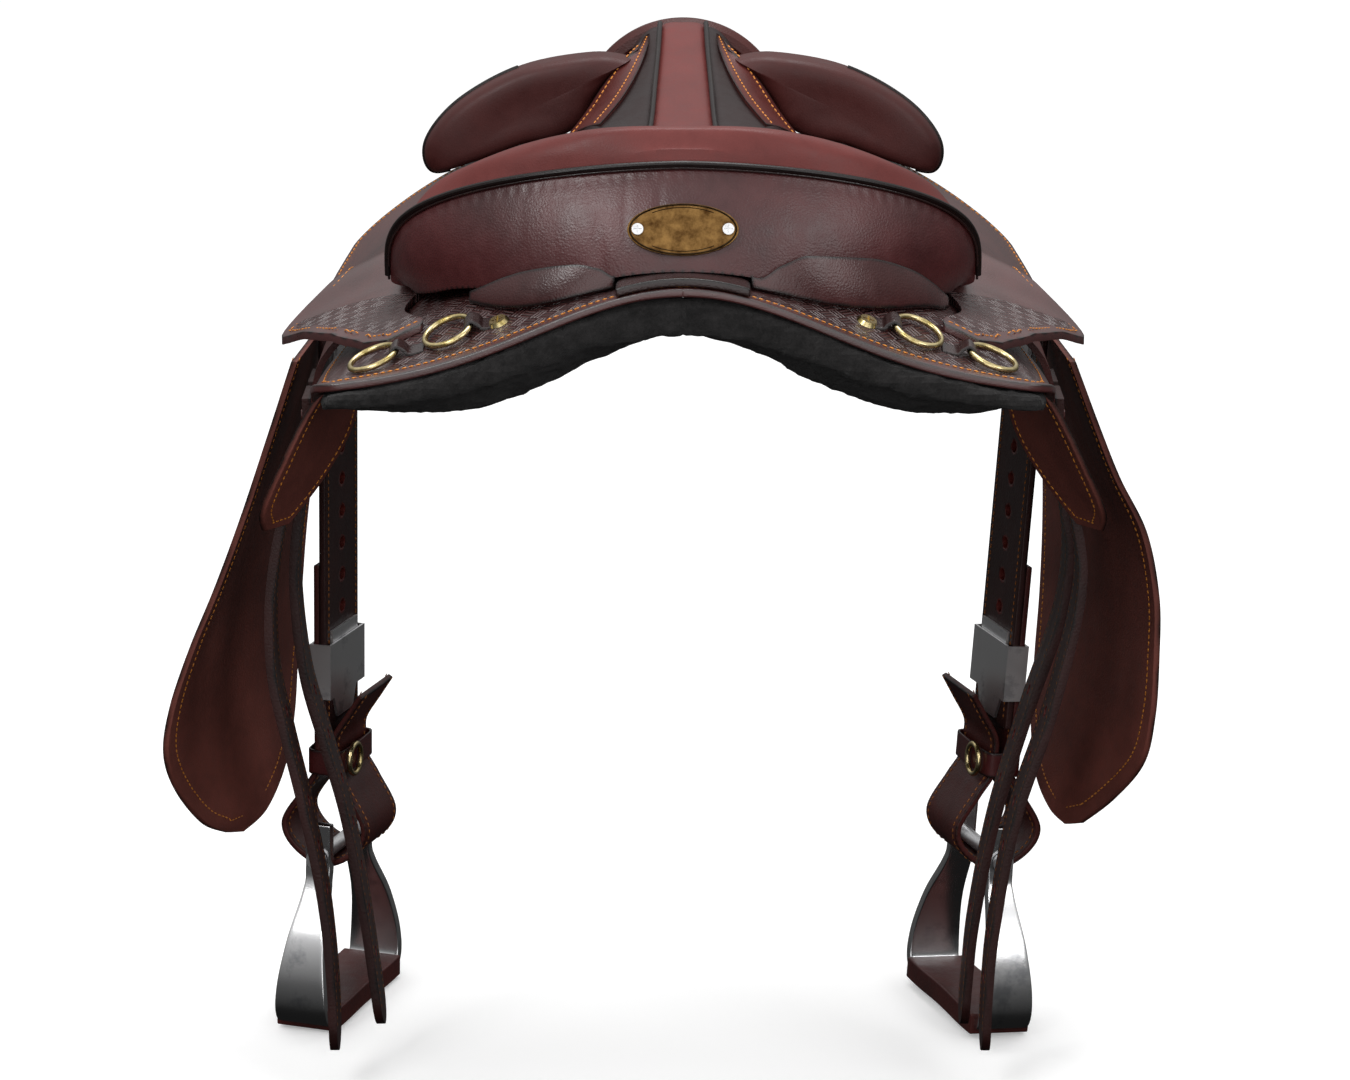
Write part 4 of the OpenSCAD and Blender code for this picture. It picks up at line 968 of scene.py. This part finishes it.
# %% [markdown]
# ## Lines on the badge
# The plain brass badge has a raised rim and a fine line inside it, which lie on its sloping face.
# They could be a bump, but a thin cord catches a real highlight. The inner line stops short of the
# two screws, so it is made as an upper and a lower part.

# %% Badge lines
BADGE_HALF, BADGE_TALL, SCREWS_FROM = 32.5, 15.5, 19
up_plate = (cantle_point(0, 0.48, 0, False) - cantle_point(0, 0.68, 0, False)).normalized()
out_plate = Vector((0, -up_plate.z, up_plate.y))
badge_low, badge_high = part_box("badge_plate")
badge_middle = (Vector(badge_low) + Vector(badge_high)) / 2 / MM
for name, share, thick in (("badge_rim", 0.955, 1.1), ("badge_inner_line", 0.84, 0.5)):
    ring = [(badge_middle + Vector((share * BADGE_HALF * math.cos(t), 0, 0))
             + up_plate * share * BADGE_TALL * math.sin(t) + out_plate * 0.85)
            for t in (2 * math.pi * i / 96 for i in range(97))]
    parts = {"": ring}
    if share < 0.9:
        ring = [p for p in ring if abs(p.x) < SCREWS_FROM]
        half = len(ring) // 2
        parts = {"_upper": ring[:half], "_lower": ring[half:]}
    for end, line in parts.items():
        report(cord(name + end, line, thick, BADGE_LINE, "saddle", "brass"))

# %% [markdown]
# ## Rear jockeys
# Two dark lips of firm leather rise from the skirts against the foot of the cantle. Each is a
# narrow sheet that stands up most at its middle and lies down at both ends, which one bent strip
# gives more simply than a swept profile.

# %% Rear jockeys
LIP_RISE = {"left": ((14, 0), (17, 6), (22, 11), (30, 12), (38, 9), (50, 0)),
            "right": ((16, 0), (20, 9), (26, 18), (42, 19), (54, 13), (66, 6), (76, 0))}


def lip_point(side, t, u, v):
    """A point of a lip, t millimetres above its underside."""
    degrees = blend(14, 50 if side == "left" else 76, v)
    a, rise = math.radians(degrees), table(LIP_RISE[side], degrees)
    low, high = foot(a, 1.5 + 7 * math.sin(math.pi * v)), foot(a, 1.0)
    base = deck(low.x, low.y) + 1.2
    top = deck(high.x, high.y) + 7.5 + rise
    place = low.lerp(high, u ** 1.3)
    t *= 0.3 + 0.7 * math.sin(math.pi * v) ** 0.5
    return SIDES[side] * place.x, place.y - 0.8 * t, blend(base, top, u ** 0.8) + 0.5 * t


for side, sgn in SIDES.items():
    lip = sheet("rear_jockey_lip_" + side, 16, 90, partial(lip_point, side, 4),
                partial(lip_point, side, 0), edge=1.2)
    report(dress(lip, LIP, "saddle", "skirt_leather", "rear_jockey_" + side))

# %% [markdown]
# ## Side jockeys
# The side jockeys are the broad flaps under the rider's thighs. They are stamped along the rear
# edge only, below a scribed line, and stitched all round. The form is the same bent sheet as the
# skirts, one tree bar higher, and its free edge curls up from them as stiff leather does.

# %% Side jockeys
JOCKEY_REAR, JOCKEY_FRONT = -240, 165
JOCKEY_EDGE = ((-240, 178), (-225, 190), (-185, 212), (-150, 232), (-125, 245), (-112, 247),
               (-98, 225), (-82, 212), (-50, 216), (0, 236), (60, 240), (115, 234), (165, 220))
JOCKEY_INNER = ((-240, 152), (-215, 162), (-180, 168), (-150, 161), (-118, 138))
JOCKEY_FLARE = ((-240, 0), (-225, 3), (-200, 11), (-185, 18), (-150, 30), (-125, 35), (-112, 35),
                (-98, 28), (-82, 18), (-50, 6), (-20, -6), (10, -14), (70, -14), (120, -6),
                (165, 0))
JOCKEY_ROUND = dict(corners=((1, 1), (1, 0), (0, 0)), share=(0.12, 0.03))


def jockey_point(sgn, drop, u, v):
    y = blend(JOCKEY_REAR, JOCKEY_FRONT, v)
    inner = table(JOCKEY_INNER, y) if y < -118 else max(min(seat_half(y) - 12, 138), 48)
    x = blend(inner, table(JOCKEY_EDGE, y), u)
    flare = table(JOCKEY_FLARE, y) * u ** 1.3
    return sgn * x, y, deck(x, y) + jockey_lift(y) + flare + JOCKEY_WALL - drop


def stamped_behind(x, y):
    """1 behind the scribed line that slants across the jockey, and 0 in front of it."""
    return ease((-128 + 0.45 * (abs(x) - 200) - y) / 3)


for side, sgn in SIDES.items():
    jockey = sheet("side_jockey_" + side, 40, 130, partial(jockey_point, sgn, 0),
                   partial(jockey_point, sgn, JOCKEY_WALL), cut="cbd", plan=True, **JOCKEY_ROUND)
    rim = jockey.data.attributes["rim"].data
    mark(jockey, "tool", [ease((WEAVE_STARTS - r.value) / 0.06)
                          * stamped_behind(v.co.x / MM, v.co.y / MM)
                          for r, v in zip(rim, jockey.data.vertices)])
    dress(jockey, SKIRT, "saddle", "skirt_leather", "seat_jockey_" + side)
    top = lambda u, v: jockey_point(sgn, 0, *cut_corners(u, v, **JOCKEY_ROUND))
    stitches("jockey_stitching_" + side, inset_line(top, border("cbd", 160), 6), "saddle",
             toward=toward_sky)
    report(jockey)

# %% [markdown]
# ## Knee pads
# A knee pad is a firm stuffed wing whose back is smooth and slightly hollow. A sculpted block
# could give it; here it starts as a ball, whose rings are drawn to the outline of the wing, so
# that it closes without seams. A cord marks the seam round its outer edge.

# %% Knee pads
PAD_MIDDLE, PAD_Y, PAD_HALF = (104, 82), 150, 20
on_jockey = [(x, deck(x, PAD_Y) + 18.2 + JOCKEY_WALL + 1.5) for x in (142, 108, 84)]
PAD_LINE = line_of((34, 116), (60, 119), (108, 110), (150, 87), (172, 60), (168, 40), *on_jockey,
                   (65, 74), (57, 90), (46, 106), (34, 116))

for side, sgn in SIDES.items():
    bpy.ops.mesh.primitive_uv_sphere_add(segments=96, ring_count=44, radius=1)
    pad = bpy.context.object
    pad.name = pad.data.name = "knee_pad_cushion_" + side
    for vertex in pad.data.vertices:
        c = vertex.co
        reach = math.hypot(c.x, c.y)
        around = (math.atan2(c.y, c.x) / (2 * math.pi)) % 1
        rim = spline_at(PAD_LINE, around)
        share = reach ** 0.42
        x, z = blend(PAD_MIDDLE[0], rim.x, share), blend(PAD_MIDDLE[1], rim.y, share)
        deep = math.copysign(abs(c.z) ** 0.62, c.z) * PAD_HALF
        if deep < 0:     # the back is slightly hollow
            deep += 3.5 * (1 - share) ** 0.8
        vertex.co = Vector((sgn * x, PAD_Y + deep, z)) * MM
    shape_edges(pad, 0)
    for f in pad.data.polygons:
        f.use_smooth = True
    dress(pad, PAD, "saddle", "seat_leather", "knee_pad_" + side)
    seam = [spline_at(PAD_LINE, t) for t in (blend(0.17, 0.46, i / 60) for i in range(61))]
    cord("knee_pad_piping_" + side, [(sgn * p.x, PAD_Y - 2, p.y) for p in seam], 3.4, PIPE,
         "saddle", "dark_leather")
    report(pad)

# %% [markdown]
# ## Facings
# A narrow facing of redder hide covers the gap between the seat and each knee pad, with a row of
# stitches along both sides. It could be bent over its neighbours by a shrink-wrap, but a strip
# drawn between two lines in space keeps its straight, drawn-tight look.

# %% Facings
FACING_IN = line_of((22, 186, 127), (24, 160, 121), (30, 128, 110), (40, 92, 98), (54, 57, 86))
FACING_OUT = line_of((30, 152, 121), (42, 140, 113), (54, 130, 99), (66, 120, 82), (80, 106, 66))
FACING_UP = Vector((0, -0.6, 0.8))


def facing_point(sgn, drop, u, v):
    place = spline_at(FACING_IN, v).lerp(spline_at(FACING_OUT, v), u)
    return sgn * place.x, place.y, place.z + 2.5 * math.sin(math.pi * u) - drop


for side, sgn in SIDES.items():
    facing = sheet("seat_facing_" + side, 20, 60, partial(facing_point, sgn, 0),
                   partial(facing_point, sgn, SEAT_WALL), edge=0.8)
    report(dress(facing, FACING, "saddle", "seat_leather"))
    for row in (0.2, 0.78):
        line = [(Vector(facing_point(sgn, 0, row, blend(0.08, 0.96, i / 60))), FACING_UP)
                for i in range(61)]
        stitches(f"facing_stitching_{side}_{'in' if row < 0.5 else 'out'}", line, "saddle",
                 toward=lambda p: FACING_UP)

# %% [markdown]
# ## Pommel
# The saddle ends in front in a stitched roll over a flat front, whose lower edge is arched to
# clear the horse's withers. The roll is one thick cord along an arc, and the front is a sheet
# between two arcs. A boolean of cylinders would give the shape too, but with uneven faces.

# %% Pommel
ARC, ROLL = 62, 18                  # radius of the arc of the pommel, and the roll's thickness
ARC_Z = 133 + 2 - ROLL / 2 - ARC    # middle of the arc, so that the roll tops out above the seat
ROLL_UP = Vector((0, -0.9, 0.4))


def roll_point(a):
    return Vector((ARC * math.sin(a), 0, ARC_Z + ARC * math.cos(a)))


cap_line = [roll_point(math.radians(blend(-55, 55, i / 60))) + Vector((0, 205.3, 0))
            for i in range(61)]
roll = cord("pommel_roll", cap_line, ROLL, STRAP, "saddle", "skirt_leather")


def front_point(y, u, v):
    x = blend(-51, 51, u)
    low = max(46, 22 + math.sqrt(max(39 ** 2 - x * x, 0)))
    high = ARC_Z + math.sqrt(ARC ** 2 - x * x) - 3
    return x, y, blend(low, high, v)


front = sheet("pommel_front", 60, 24, partial(front_point, 208.3), partial(front_point, 202.3))
dress(front, STRAP, "saddle", "skirt_leather", "pommel_cap")
rear_of_roll = [(p + Vector((0, -7.4, 3.2)), ROLL_UP) for p in cap_line[4:-4]]
stitches("pommel_roll_stitching", rear_of_roll, "saddle", toward=lambda p: ROLL_UP)
report(roll, front)

# %% [markdown]
# ## Straps and their holes
# Girth points and stirrup leathers are harness straps: a flat band with edge-dressed sides, two
# rows of stitching and punched holes. Each is bent as a grid. A picture of a hole would be flat,
# so the holes are cut by a boolean with round cylinders, as a punch would. Round a hole the dye
# shows redder.


# %% Straps and holes
RED_RING = 2.2      # millimetres that the redder dye reaches from a hole
HOLE_SIDES = 28


def punch(piece, holes, along, across):
    """Cuts round holes through a piece; each is its middle and its diameter in millimetres."""
    cutters = []
    turn = Vector(along).to_track_quat("Z", "Y").to_euler()
    for middle, size in holes:
        bpy.ops.mesh.primitive_cylinder_add(vertices=HOLE_SIDES, radius=size / 2 * MM,
                                            depth=24 * MM, location=Vector(middle) * MM,
                                            rotation=turn)
        cutters.append(bpy.context.object)
    bpy.ops.object.select_all(action="DESELECT")
    for cutter in cutters:
        cutter.select_set(True)
    bpy.context.view_layer.objects.active = cutters[0]
    bpy.ops.object.join()
    cutter = bpy.context.object
    cutter.select_set(False)
    bpy.context.view_layer.objects.active = piece
    cut = piece.modifiers.new("punch", "BOOLEAN")
    cut.operation, cut.solver, cut.object = "DIFFERENCE", "EXACT", cutter
    bpy.ops.object.modifier_apply(modifier="punch")
    bpy.data.objects.remove(cutter)
    middles = [Vector(middle) * MM for middle, size in holes]
    mark(piece, "panel", [RED_RING - (min((v.co - m).length for m in middles) / MM - across / 2)
                          for v in piece.data.vertices])


STEP = 0.004        # share of a path over which its direction is taken


def band_point(path, half, out, u, v):
    """A point of a band whose path runs in the XZ plane, as (out, across, z)."""
    p, q = spline_at(path, max(v - STEP, 0)), spline_at(path, min(v + STEP, 1))
    along = (q - p).normalized()
    middle = spline_at(path, v)
    return middle.x + along.y * out, blend(-half, half, u), middle.y - along.x * out


print("a hole has sides:", HOLE_SIDES)

# %% [markdown]
# ## Girth points
# Four girth points hang from the studs of the rigging web, two a side, and each has taken its own
# set. They end in a half round, and two rows of stitching hold their two layers together. Each is
# drawn from its own path: how far it stands out at each share of its length.

# %% Girth points
GIRTH_TOP = ((0, -0.035), (0, 0.03), (1.5, 0.06))     # every one starts flat on its stud
GIRTH = {
    ("rear", "left"): ((17, 0.15), (26, 0.27), (26, 0.39), (17, 0.5), (7, 0.61),
                       (-3, 0.745), (-8, 0.88), (-9, 1)),
    ("rear", "right"): ((10, 0.13), (17, 0.22), (14, 0.31), (-1, 0.46),
                        (-22, 0.62), (-34, 0.79), (-38, 0.9), (-39, 1)),
    ("front", "left"): ((9, 0.14), (15, 0.27), (10, 0.42), (-3, 0.54),
                        (-15, 0.65), (-25, 0.79), (-32, 0.92), (-36, 1)),
    ("front", "right"): ((7, 0.13), (13, 0.23), (8, 0.34), (-12, 0.49),
                         (-32, 0.66), (-44, 0.82), (-48, 0.92), (-50, 1)),
}
STUD_X, STUD_Z, GIRTH_LONG, GIRTH_END = 236.05, -78, 425, -78 - 425
GIRTH_HALF, GIRTH_WALL, HARNESS_PITCH = 19, 5.5, 4.6
GIRTH_Y = {"rear": -74, "front": -24}

for (place, side), shape in GIRTH.items():
    name, sgn, y0 = f"girth_point_{place}_{side}", SIDES[side], GIRTH_Y[place]
    path = [Vector((STUD_X + x, STUD_Z - GIRTH_LONG * t)) for x, t in GIRTH_TOP + shape]

    def girth_point(out, u, v):
        x, across, z = band_point(path, GIRTH_HALF, out, u, v)
        short = max(z - GIRTH_END, 0)
        if short < GIRTH_HALF:     # the half round of the end
            across *= math.sqrt(max(1 - ((GIRTH_HALF - short) / GIRTH_HALF) ** 2, 0.0004))
        return sgn * x, y0 + across, z

    strap = sheet(name, 12, 110, partial(girth_point, GIRTH_WALL / 2),
                  partial(girth_point, -GIRTH_WALL / 2), edge=1.0)
    holes = []
    for z, size in [(STUD_Z, 7.8)] + [(GIRTH_END + 50 + 30 * i, 7) for i in range(7)]:
        v = min((i / 400 for i in range(401)), key=lambda t: abs(spline_at(path, t).y - z))
        holes.append(((sgn * spline_at(path, v).x, y0, z), size))
    punch(strap, holes, (1, 0, 0), 7)
    dress(strap, STRAP, name, "strap_leather", name)
    for face, way in ((1, "out"), (-1, "in")):
        for edge in (0.16, 0.84):
            line = [(Vector(girth_point(face * GIRTH_WALL / 2, edge, v)),
                     Vector((sgn * face, 0, 0)))
                    for v in (blend(0.03, 0.955, i / 120) for i in range(121))]
            stitches(f"girth_stitching_{place}_{side}_{way}_{round(edge * 10)}", line, name, TAN,
                     pitch=HARNESS_PITCH)
    report(strap)

# %% [markdown]
# ## Sweat flaps
# A sweat flap is a small single skin that hangs from under the skirt in its own curve. A cloth
# simulation would give some curve, but not this one, so the flap is drawn between a rear and a
# front edge line in space, with a wall outwards.

# %% Sweat flaps
SINGLE_WALL, UNDER_SKIRT = 4, 5.3
FLAP_FRONT = line_of((194, -88, deck(198, -88) - UNDER_SKIRT), (200, -90, -52), (208, -93, -84),
                     (226, -103, -114), (246, -118, -138))
FLAP_REAR = line_of((212, -164, deck(216, -164) - UNDER_SKIRT), (228, -164, -58),
                    (243, -164, -88), (257, -156, -120), (258, -138, -137))


def between(front, rear, sgn, out, u, v):
    """A point of the skin between two edge lines, moved outwards."""
    place = spline_at(front, v).lerp(spline_at(rear, v), u)
    return sgn * (place.x + out), place.y, place.z


for side, sgn in SIDES.items():
    skin = partial(between, FLAP_FRONT, FLAP_REAR, sgn)
    flap = sheet("sweat_flap_skin_" + side, 24, 48, partial(skin, SINGLE_WALL), partial(skin, 0),
                 cut="bda")
    dress(flap, FLESH, "sweat_flap_" + side, "strap_leather", "sweat_flap_" + side)
    stitches("sweat_flap_stitching_" + side, inset_line(partial(skin, 0), border("bda", 120), 6),
             "sweat_flap_" + side, toward=lambda p: Vector((-sgn, 0, 0)))
    report(flap)

# %% [markdown]
# ## Fenders
# A fender is the large flap that hangs beside each stirrup leather and keeps the rider's leg off
# the horse. The two have taken different curves in use, so each has its own front and rear line.
# Both faces are stitched: the stitches of the inner face are those seen from behind.

# %% Fenders
FENDER = {
    "left": ([(234.8, 186, -60), (243, 194, -110), (253, 194, -160), (260, 188, -210),
              (264, 176, -260), (266, 158, -300), (267, 132, -335), (271, 98, -362),
              (281, 62, -382), (295, 40, -391)],
             [(245.2, -45, -50), (260, -46, -94), (280, -46, -152), (298, -46, -199),
              (315, -46, -239), (329, -44, -279), (335, -36, -313), (330, -18, -344),
              (316, 6, -374), (303, 32, -389)]),
    "right": ([(235.5, 186, -60), (243, 194, -110), (248, 194, -160), (249, 188, -210),
               (247, 176, -260), (243, 158, -300), (239, 128, -340), (240, 90, -366),
               (247, 58, -380), (256, 38, -385)],
              [(245.9, -45, -50), (262, -46, -92), (276, -46, -126), (294, -46, -162),
               (303, -46, -205), (304, -46, -245), (303, -42, -285), (298, -28, -322),
               (282, 2, -356), (264, 28, -381)]),
}
# The thread leaves out the last part of the tip, where both rows would run into each other.
FENDER_ROUTE = [p for p in border("bda", 160) if p[1] < 0.965]

for side, sgn in SIDES.items():
    front_line, rear_line = (line_of(*line) for line in FENDER[side])
    skin = partial(between, front_line, rear_line, sgn)
    fender = sheet("fender_skin_" + side, 40, 110, partial(skin, SINGLE_WALL), partial(skin, 0),
                   edge=1.5)
    dress(fender, FLESH, "fender_" + side, "strap_leather", "fender_" + side)
    for face, out, way in (("in", 0, -1), ("out", SINGLE_WALL, 1)):
        stitches(f"fender_stitching_{face}_{side}", inset_line(partial(skin, out), FENDER_ROUTE, 9),
                 "fender_" + side, toward=lambda p: Vector((sgn * way, 0, 0)))
    report(fender)

# %% [markdown]
# ## The frame in which a stirrup leather hangs
# Each stirrup leather hangs from a stud, turned by the bars of the tree and leaning a little. Its
# pieces could be made in place, but it is easier to make them upright around their own stud. This
# frame is then applied to every point of them.

# %% Hanging frame
STUD = Vector((229, 86, -62))
LEAN = {"left": math.radians(-1), "right": math.radians(4.5)}
YAW = math.radians(18)


def hang(side, x, y, z):
    """From a stirrup leather's own upright frame, at its stud, to the saddle's."""
    a = LEAN[side]
    x, z = x * math.cos(a) + z * math.sin(a), z * math.cos(a) - x * math.sin(a)
    x, y = x * math.cos(YAW) - y * math.sin(YAW), x * math.sin(YAW) + y * math.cos(YAW)
    return Vector((SIDES[side] * (STUD.x + x), STUD.y + y, STUD.z + z))


def hung_way(side, x, y, z):
    """A direction in the upright frame, turned to the saddle's."""
    return hang(side, x, y, z) - hang(side, 0, 0, 0)


print("studs of the stirrup leathers:", [tuple(map(round, hang(side, 0, 0, 0))) for side in SIDES])

# %% [markdown]
# ## Stirrup leathers
# The flat strap has eight holes below its stud. A wide loop of strap carries the stirrup bolt, a
# steel plate with a hook joins the two, and a steel sleeve slides over the join. The loop could be
# a swept profile; as a band along a path it is the same kind of sheet as everything else, and its
# stitches follow the same path.

# %% Straps and loops
LOOP = line_of((-27, -238), (-18, -252), (-8.1, -268), (-7.1, -280), (-8.1, -294), (-17, -309),
               (-29, -332), (-21, -349.3), (0, -359.3), (21, -349.3), (29, -332), (15, -309),
               (5.8, -294), (4.8, -280), (4.8, -250), (4.8, -200), (4.8, -150))
STRAP_HALF, STRAP_WALL = 29, 5
LOOP_HALF, LOOP_WALL = 28, 4


def strap_point(side, out, u, v):
    return hang(side, out, blend(-STRAP_HALF, STRAP_HALF, u), blend(15, -262, v))


def loop_point(side, out, u, v):
    return hang(side, *band_point(LOOP, LOOP_HALF, out, u, v))


for side in SIDES:
    body = "stirrup_leather_" + side
    strap = sheet("stirrup_strap_skin_" + side, 16, 90, partial(strap_point, side, STRAP_WALL / 2),
                  partial(strap_point, side, -STRAP_WALL / 2), edge=1.0)
    spots = [(0, 7.8)] + [(-52 - 22 * i, 8) for i in range(8)]
    punch(strap, [(hang(side, 0, 0, z), size) for z, size in spots], hung_way(side, 1, 0, 0), 8)
    dress(strap, STRAP, body, "strap_leather", "stirrup_strap_" + side)
    loop = sheet("stirrup_loop_skin_" + side, 16, 170, partial(loop_point, side, LOOP_WALL / 2),
                 partial(loop_point, side, -LOOP_WALL / 2), edge=0.9)
    dress(loop, STRAP, body, "strap_leather", "stirrup_loop_" + side)
    for edge, end in ((-1, "rear"), (1, "front")):
        for face, way in ((-1, "in"), (1, "out")):
            rows = {"strap": [(hang(side, face * STRAP_WALL / 2, edge * 24,
                                    blend(13, -258, i / 90)), hung_way(side, face, 0, 0))
                              for i in range(91)], "loop": []}
            for i in range(171):
                x, _, z = band_point(LOOP, LOOP_HALF, face * LOOP_WALL / 2, 0.5, i / 170)
                middle = spline_at(LOOP, i / 170)
                rows["loop"].append((hang(side, x, edge * 23, z),
                                     hung_way(side, x - middle.x, 0, z - middle.y)))
            for part, line in rows.items():
                stitches(f"{part}_stitching_{side}_{end}_{way}", line, body, TAN,
                         pitch=HARNESS_PITCH)
    report(strap, loop)

# %% [markdown]
# ## Loops of the dee rings
# A short strip of leather is folded over the hinge side of each dee ring and sewn to the skirt. A
# strip bent round is one grid whose long side follows the fold; a block cut to that shape would
# have no even layout. All four stand for one node of the CAD model, which the first one replaces.

# %% Dee loops
RING_RADIUS, DEE_Y = 14.7, -262
RING_X = {"inner": 139 - RING_RADIUS, "outer": 183 - RING_RADIUS}     # hinge side of each ring
ARCH = line_of((-16, 0.4), (-8, 1.2), (-4.6, 5), (0, 8.2), (3.6, 6), (4.6, 2.4), (3, 0.6))


def arch_point(sgn, x0, out, u, v):
    x, across, z = band_point(ARCH, 5.5, out, u, v)
    y = DEE_Y + across
    return sgn * (x0 + x), y, deck(x0 + x, y) + 0.6 + z


made = []
for side, sgn in SIDES.items():
    for which, x0 in RING_X.items():
        arch = sheet(f"dee_loop_{which}_{side}", 8, 40, partial(arch_point, sgn, x0, 1.6),
                     partial(arch_point, sgn, x0, 0), edge=0.6)
        dress(arch, DARK, "saddle", "skirt_leather", *([] if made else ["dee_loops"]))
        made.append(arch)
report(*made)

# %% [markdown]
# ## Keepers
# A red keeper is wrapped tightly round both runs of the stirrup loop, and a brass ring closes it.
# Its outline is a circle pressed towards a box: a power below one of the sine and cosine does so,
# and leaves the corners round, as leather takes them.


# %% Keepers
def body_of(node):
    return frame["nodes"][node]["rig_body"]


def pressed(value, power):
    return math.copysign(abs(value) ** power, value)


RUN_IN, RUN_OUT = -7.1, 4.8     # where the two runs of the loop pass through the keeper
SLACK = 1.2
KEEPER_LOW, KEEPER_HIGH = RUN_IN - 5.3 - SLACK, RUN_OUT + 5.3 + SLACK
KEEPER_Z, KEEPER_TALL, KEEPER_STEPS = -295, 17, 80
KEEPER_LINE = [(pressed(math.cos(a), 0.5) * (KEEPER_HIGH - KEEPER_LOW) / 2
                + (KEEPER_HIGH + KEEPER_LOW) / 2,
                pressed(math.sin(a), 0.22) * (STRAP_HALF + SLACK))
               for a in (2 * math.pi * i / KEEPER_STEPS for i in range(KEEPER_STEPS + 1))]


def keeper_point(side, grow, u, v):
    k = min(int(v * KEEPER_STEPS), KEEPER_STEPS - 1)
    x, y = (blend(a, b, v * KEEPER_STEPS - k) for a, b in zip(KEEPER_LINE[k], KEEPER_LINE[k + 1]))
    out = Vector((x - (RUN_IN + RUN_OUT) / 2, y)).normalized() * grow
    return hang(side, x + out.x, y + out.y, KEEPER_Z + KEEPER_TALL * u)


for side in SIDES:
    keeper = sheet("hobble_keeper_" + side, 10, 160, partial(keeper_point, side, 1.3),
                   partial(keeper_point, side, -1.0), edge=0.7)
    dress(keeper, LATIGO, body_of("hobble_strap_" + side), "strap_leather", "hobble_strap_" + side)
    report(keeper)

# %% [markdown]
# ## Stirrups
# The stirrup is cast in aluminium and polished: two flat branches that widen downwards into the
# foot plate, with all edges rounded. It could be modelled by pulling a box into shape; here it is
# one band of changing width whose path is mirrored at the middle of the foot plate.

# %% Stirrup frames
BOLT_Z, PLATE_Z, IRON_WALL = -352, -106.5, 7.2     # bolt in the leather's frame, plate below it
BRANCH = line_of((35, 24), (35, 8), (35, -8), (39, -22), (57, -50), (66, -76), (67.3, -98),
                 (62, -106.3), (50, PLATE_Z), (25, PLATE_Z), (0, PLATE_Z))
BRANCH_HALF = ((-108, 18.3), (-90, 18.0), (-60, 14.5), (-20, 9.2), (-8, 9), (24, 9))


def branch_point(side, out, u, v):
    t = 1 - abs(2 * v - 1)
    p, q = spline_at(BRANCH, max(t - STEP, 0)), spline_at(BRANCH, min(t + STEP, 1))
    along = (q - p).normalized()
    place = spline_at(BRANCH, t)
    y, z = place.x - along.y * out, place.y + along.x * out
    half = table(BRANCH_HALF, z)
    return hang(side, blend(-half, half, u), y if v >= 0.5 else -y, BOLT_Z + z)


print("a branch widens from", 2 * BRANCH_HALF[-1][1], "mm to", 2 * BRANCH_HALF[0][1], "mm")

# %% [markdown]
# ## Foot plates and their covers
# Each foot plate is wrapped in dark leather for grip. The cover is a box that is cut finely,
# swollen a little by a cosine and rounded at its edges: enough for a plain wrap, where a bent
# sheet would leave a gap at the ends.

# %% Stirrups
COVER = (42.6, 121, 14.4)     # its size across, along and through the plate

for side in SIDES:
    iron = sheet("stirrup_iron_" + side, 10, 200, partial(branch_point, side, IRON_WALL / 2),
                 partial(branch_point, side, -IRON_WALL / 2), edge=2.6)
    dress(iron, ALUMINIUM, body_of("stirrup_frame_" + side), "aluminium", "stirrup_frame_" + side)
    bpy.ops.mesh.primitive_cube_add(size=1)
    tread = bpy.context.object
    tread.name = tread.data.name = "tread_wrap_" + side
    bpy.ops.object.mode_set(mode="EDIT")
    bpy.ops.mesh.subdivide(number_cuts=12)
    bpy.ops.object.mode_set(mode="OBJECT")
    for vertex in tread.data.vertices:
        x, y, z = (c * size for c, size in zip(vertex.co, COVER))
        swell = 0.5 * math.cos(vertex.co.y * 9)
        vertex.co = hang(side, x, y, BOLT_Z + PLATE_Z + z + swell) * MM
    shape_edges(tread, 3.5)
    mark(tread, "rim", [0.0] * len(tread.data.vertices))
    tread.select_set(False)
    dress(tread, STRAP, body_of("tread_cover_" + side), "dark_leather", "tread_cover_" + side)
    report(iron, tread)

# %% [markdown]
# ## Metal and hidden parts
# The other frame parts have the right shape already and keep it. Each gets its own finish: brass
# rings and screws, an aged badge, steel plates, sleeves and bolts, a sealed wooden tree, and the
# leather web that carries the girth studs. A table by the start of the name is shorter than a line
# for each, and takes both sides at once.

# %% Frame finishes
FINISH = {"tree": WOOD, "gullet_plate": STEEL, "seat_webbing": WEB, "seat_foam": FOAM,
          "badge_plate": BADGE, "badge_screws": STEEL, "skirt_screws": BRASS,
          "bar_rivets": STEEL, "rigging_web": STRAP, "dee_ring": BRASS, "stirrup_bar": STEEL,
          "buckle_plate": STEEL, "buckle_sleeve": STEEL, "hobble_buckle": BRASS,
          "stirrup_bolt": STEEL}
finished = 0
for name, node in frame["nodes"].items():
    for kind, material in FINISH.items():
        if name.startswith(kind):
            for slot in node.material_slots:
                slot.material = material
            finished += 1
print("frame parts finished:", finished)
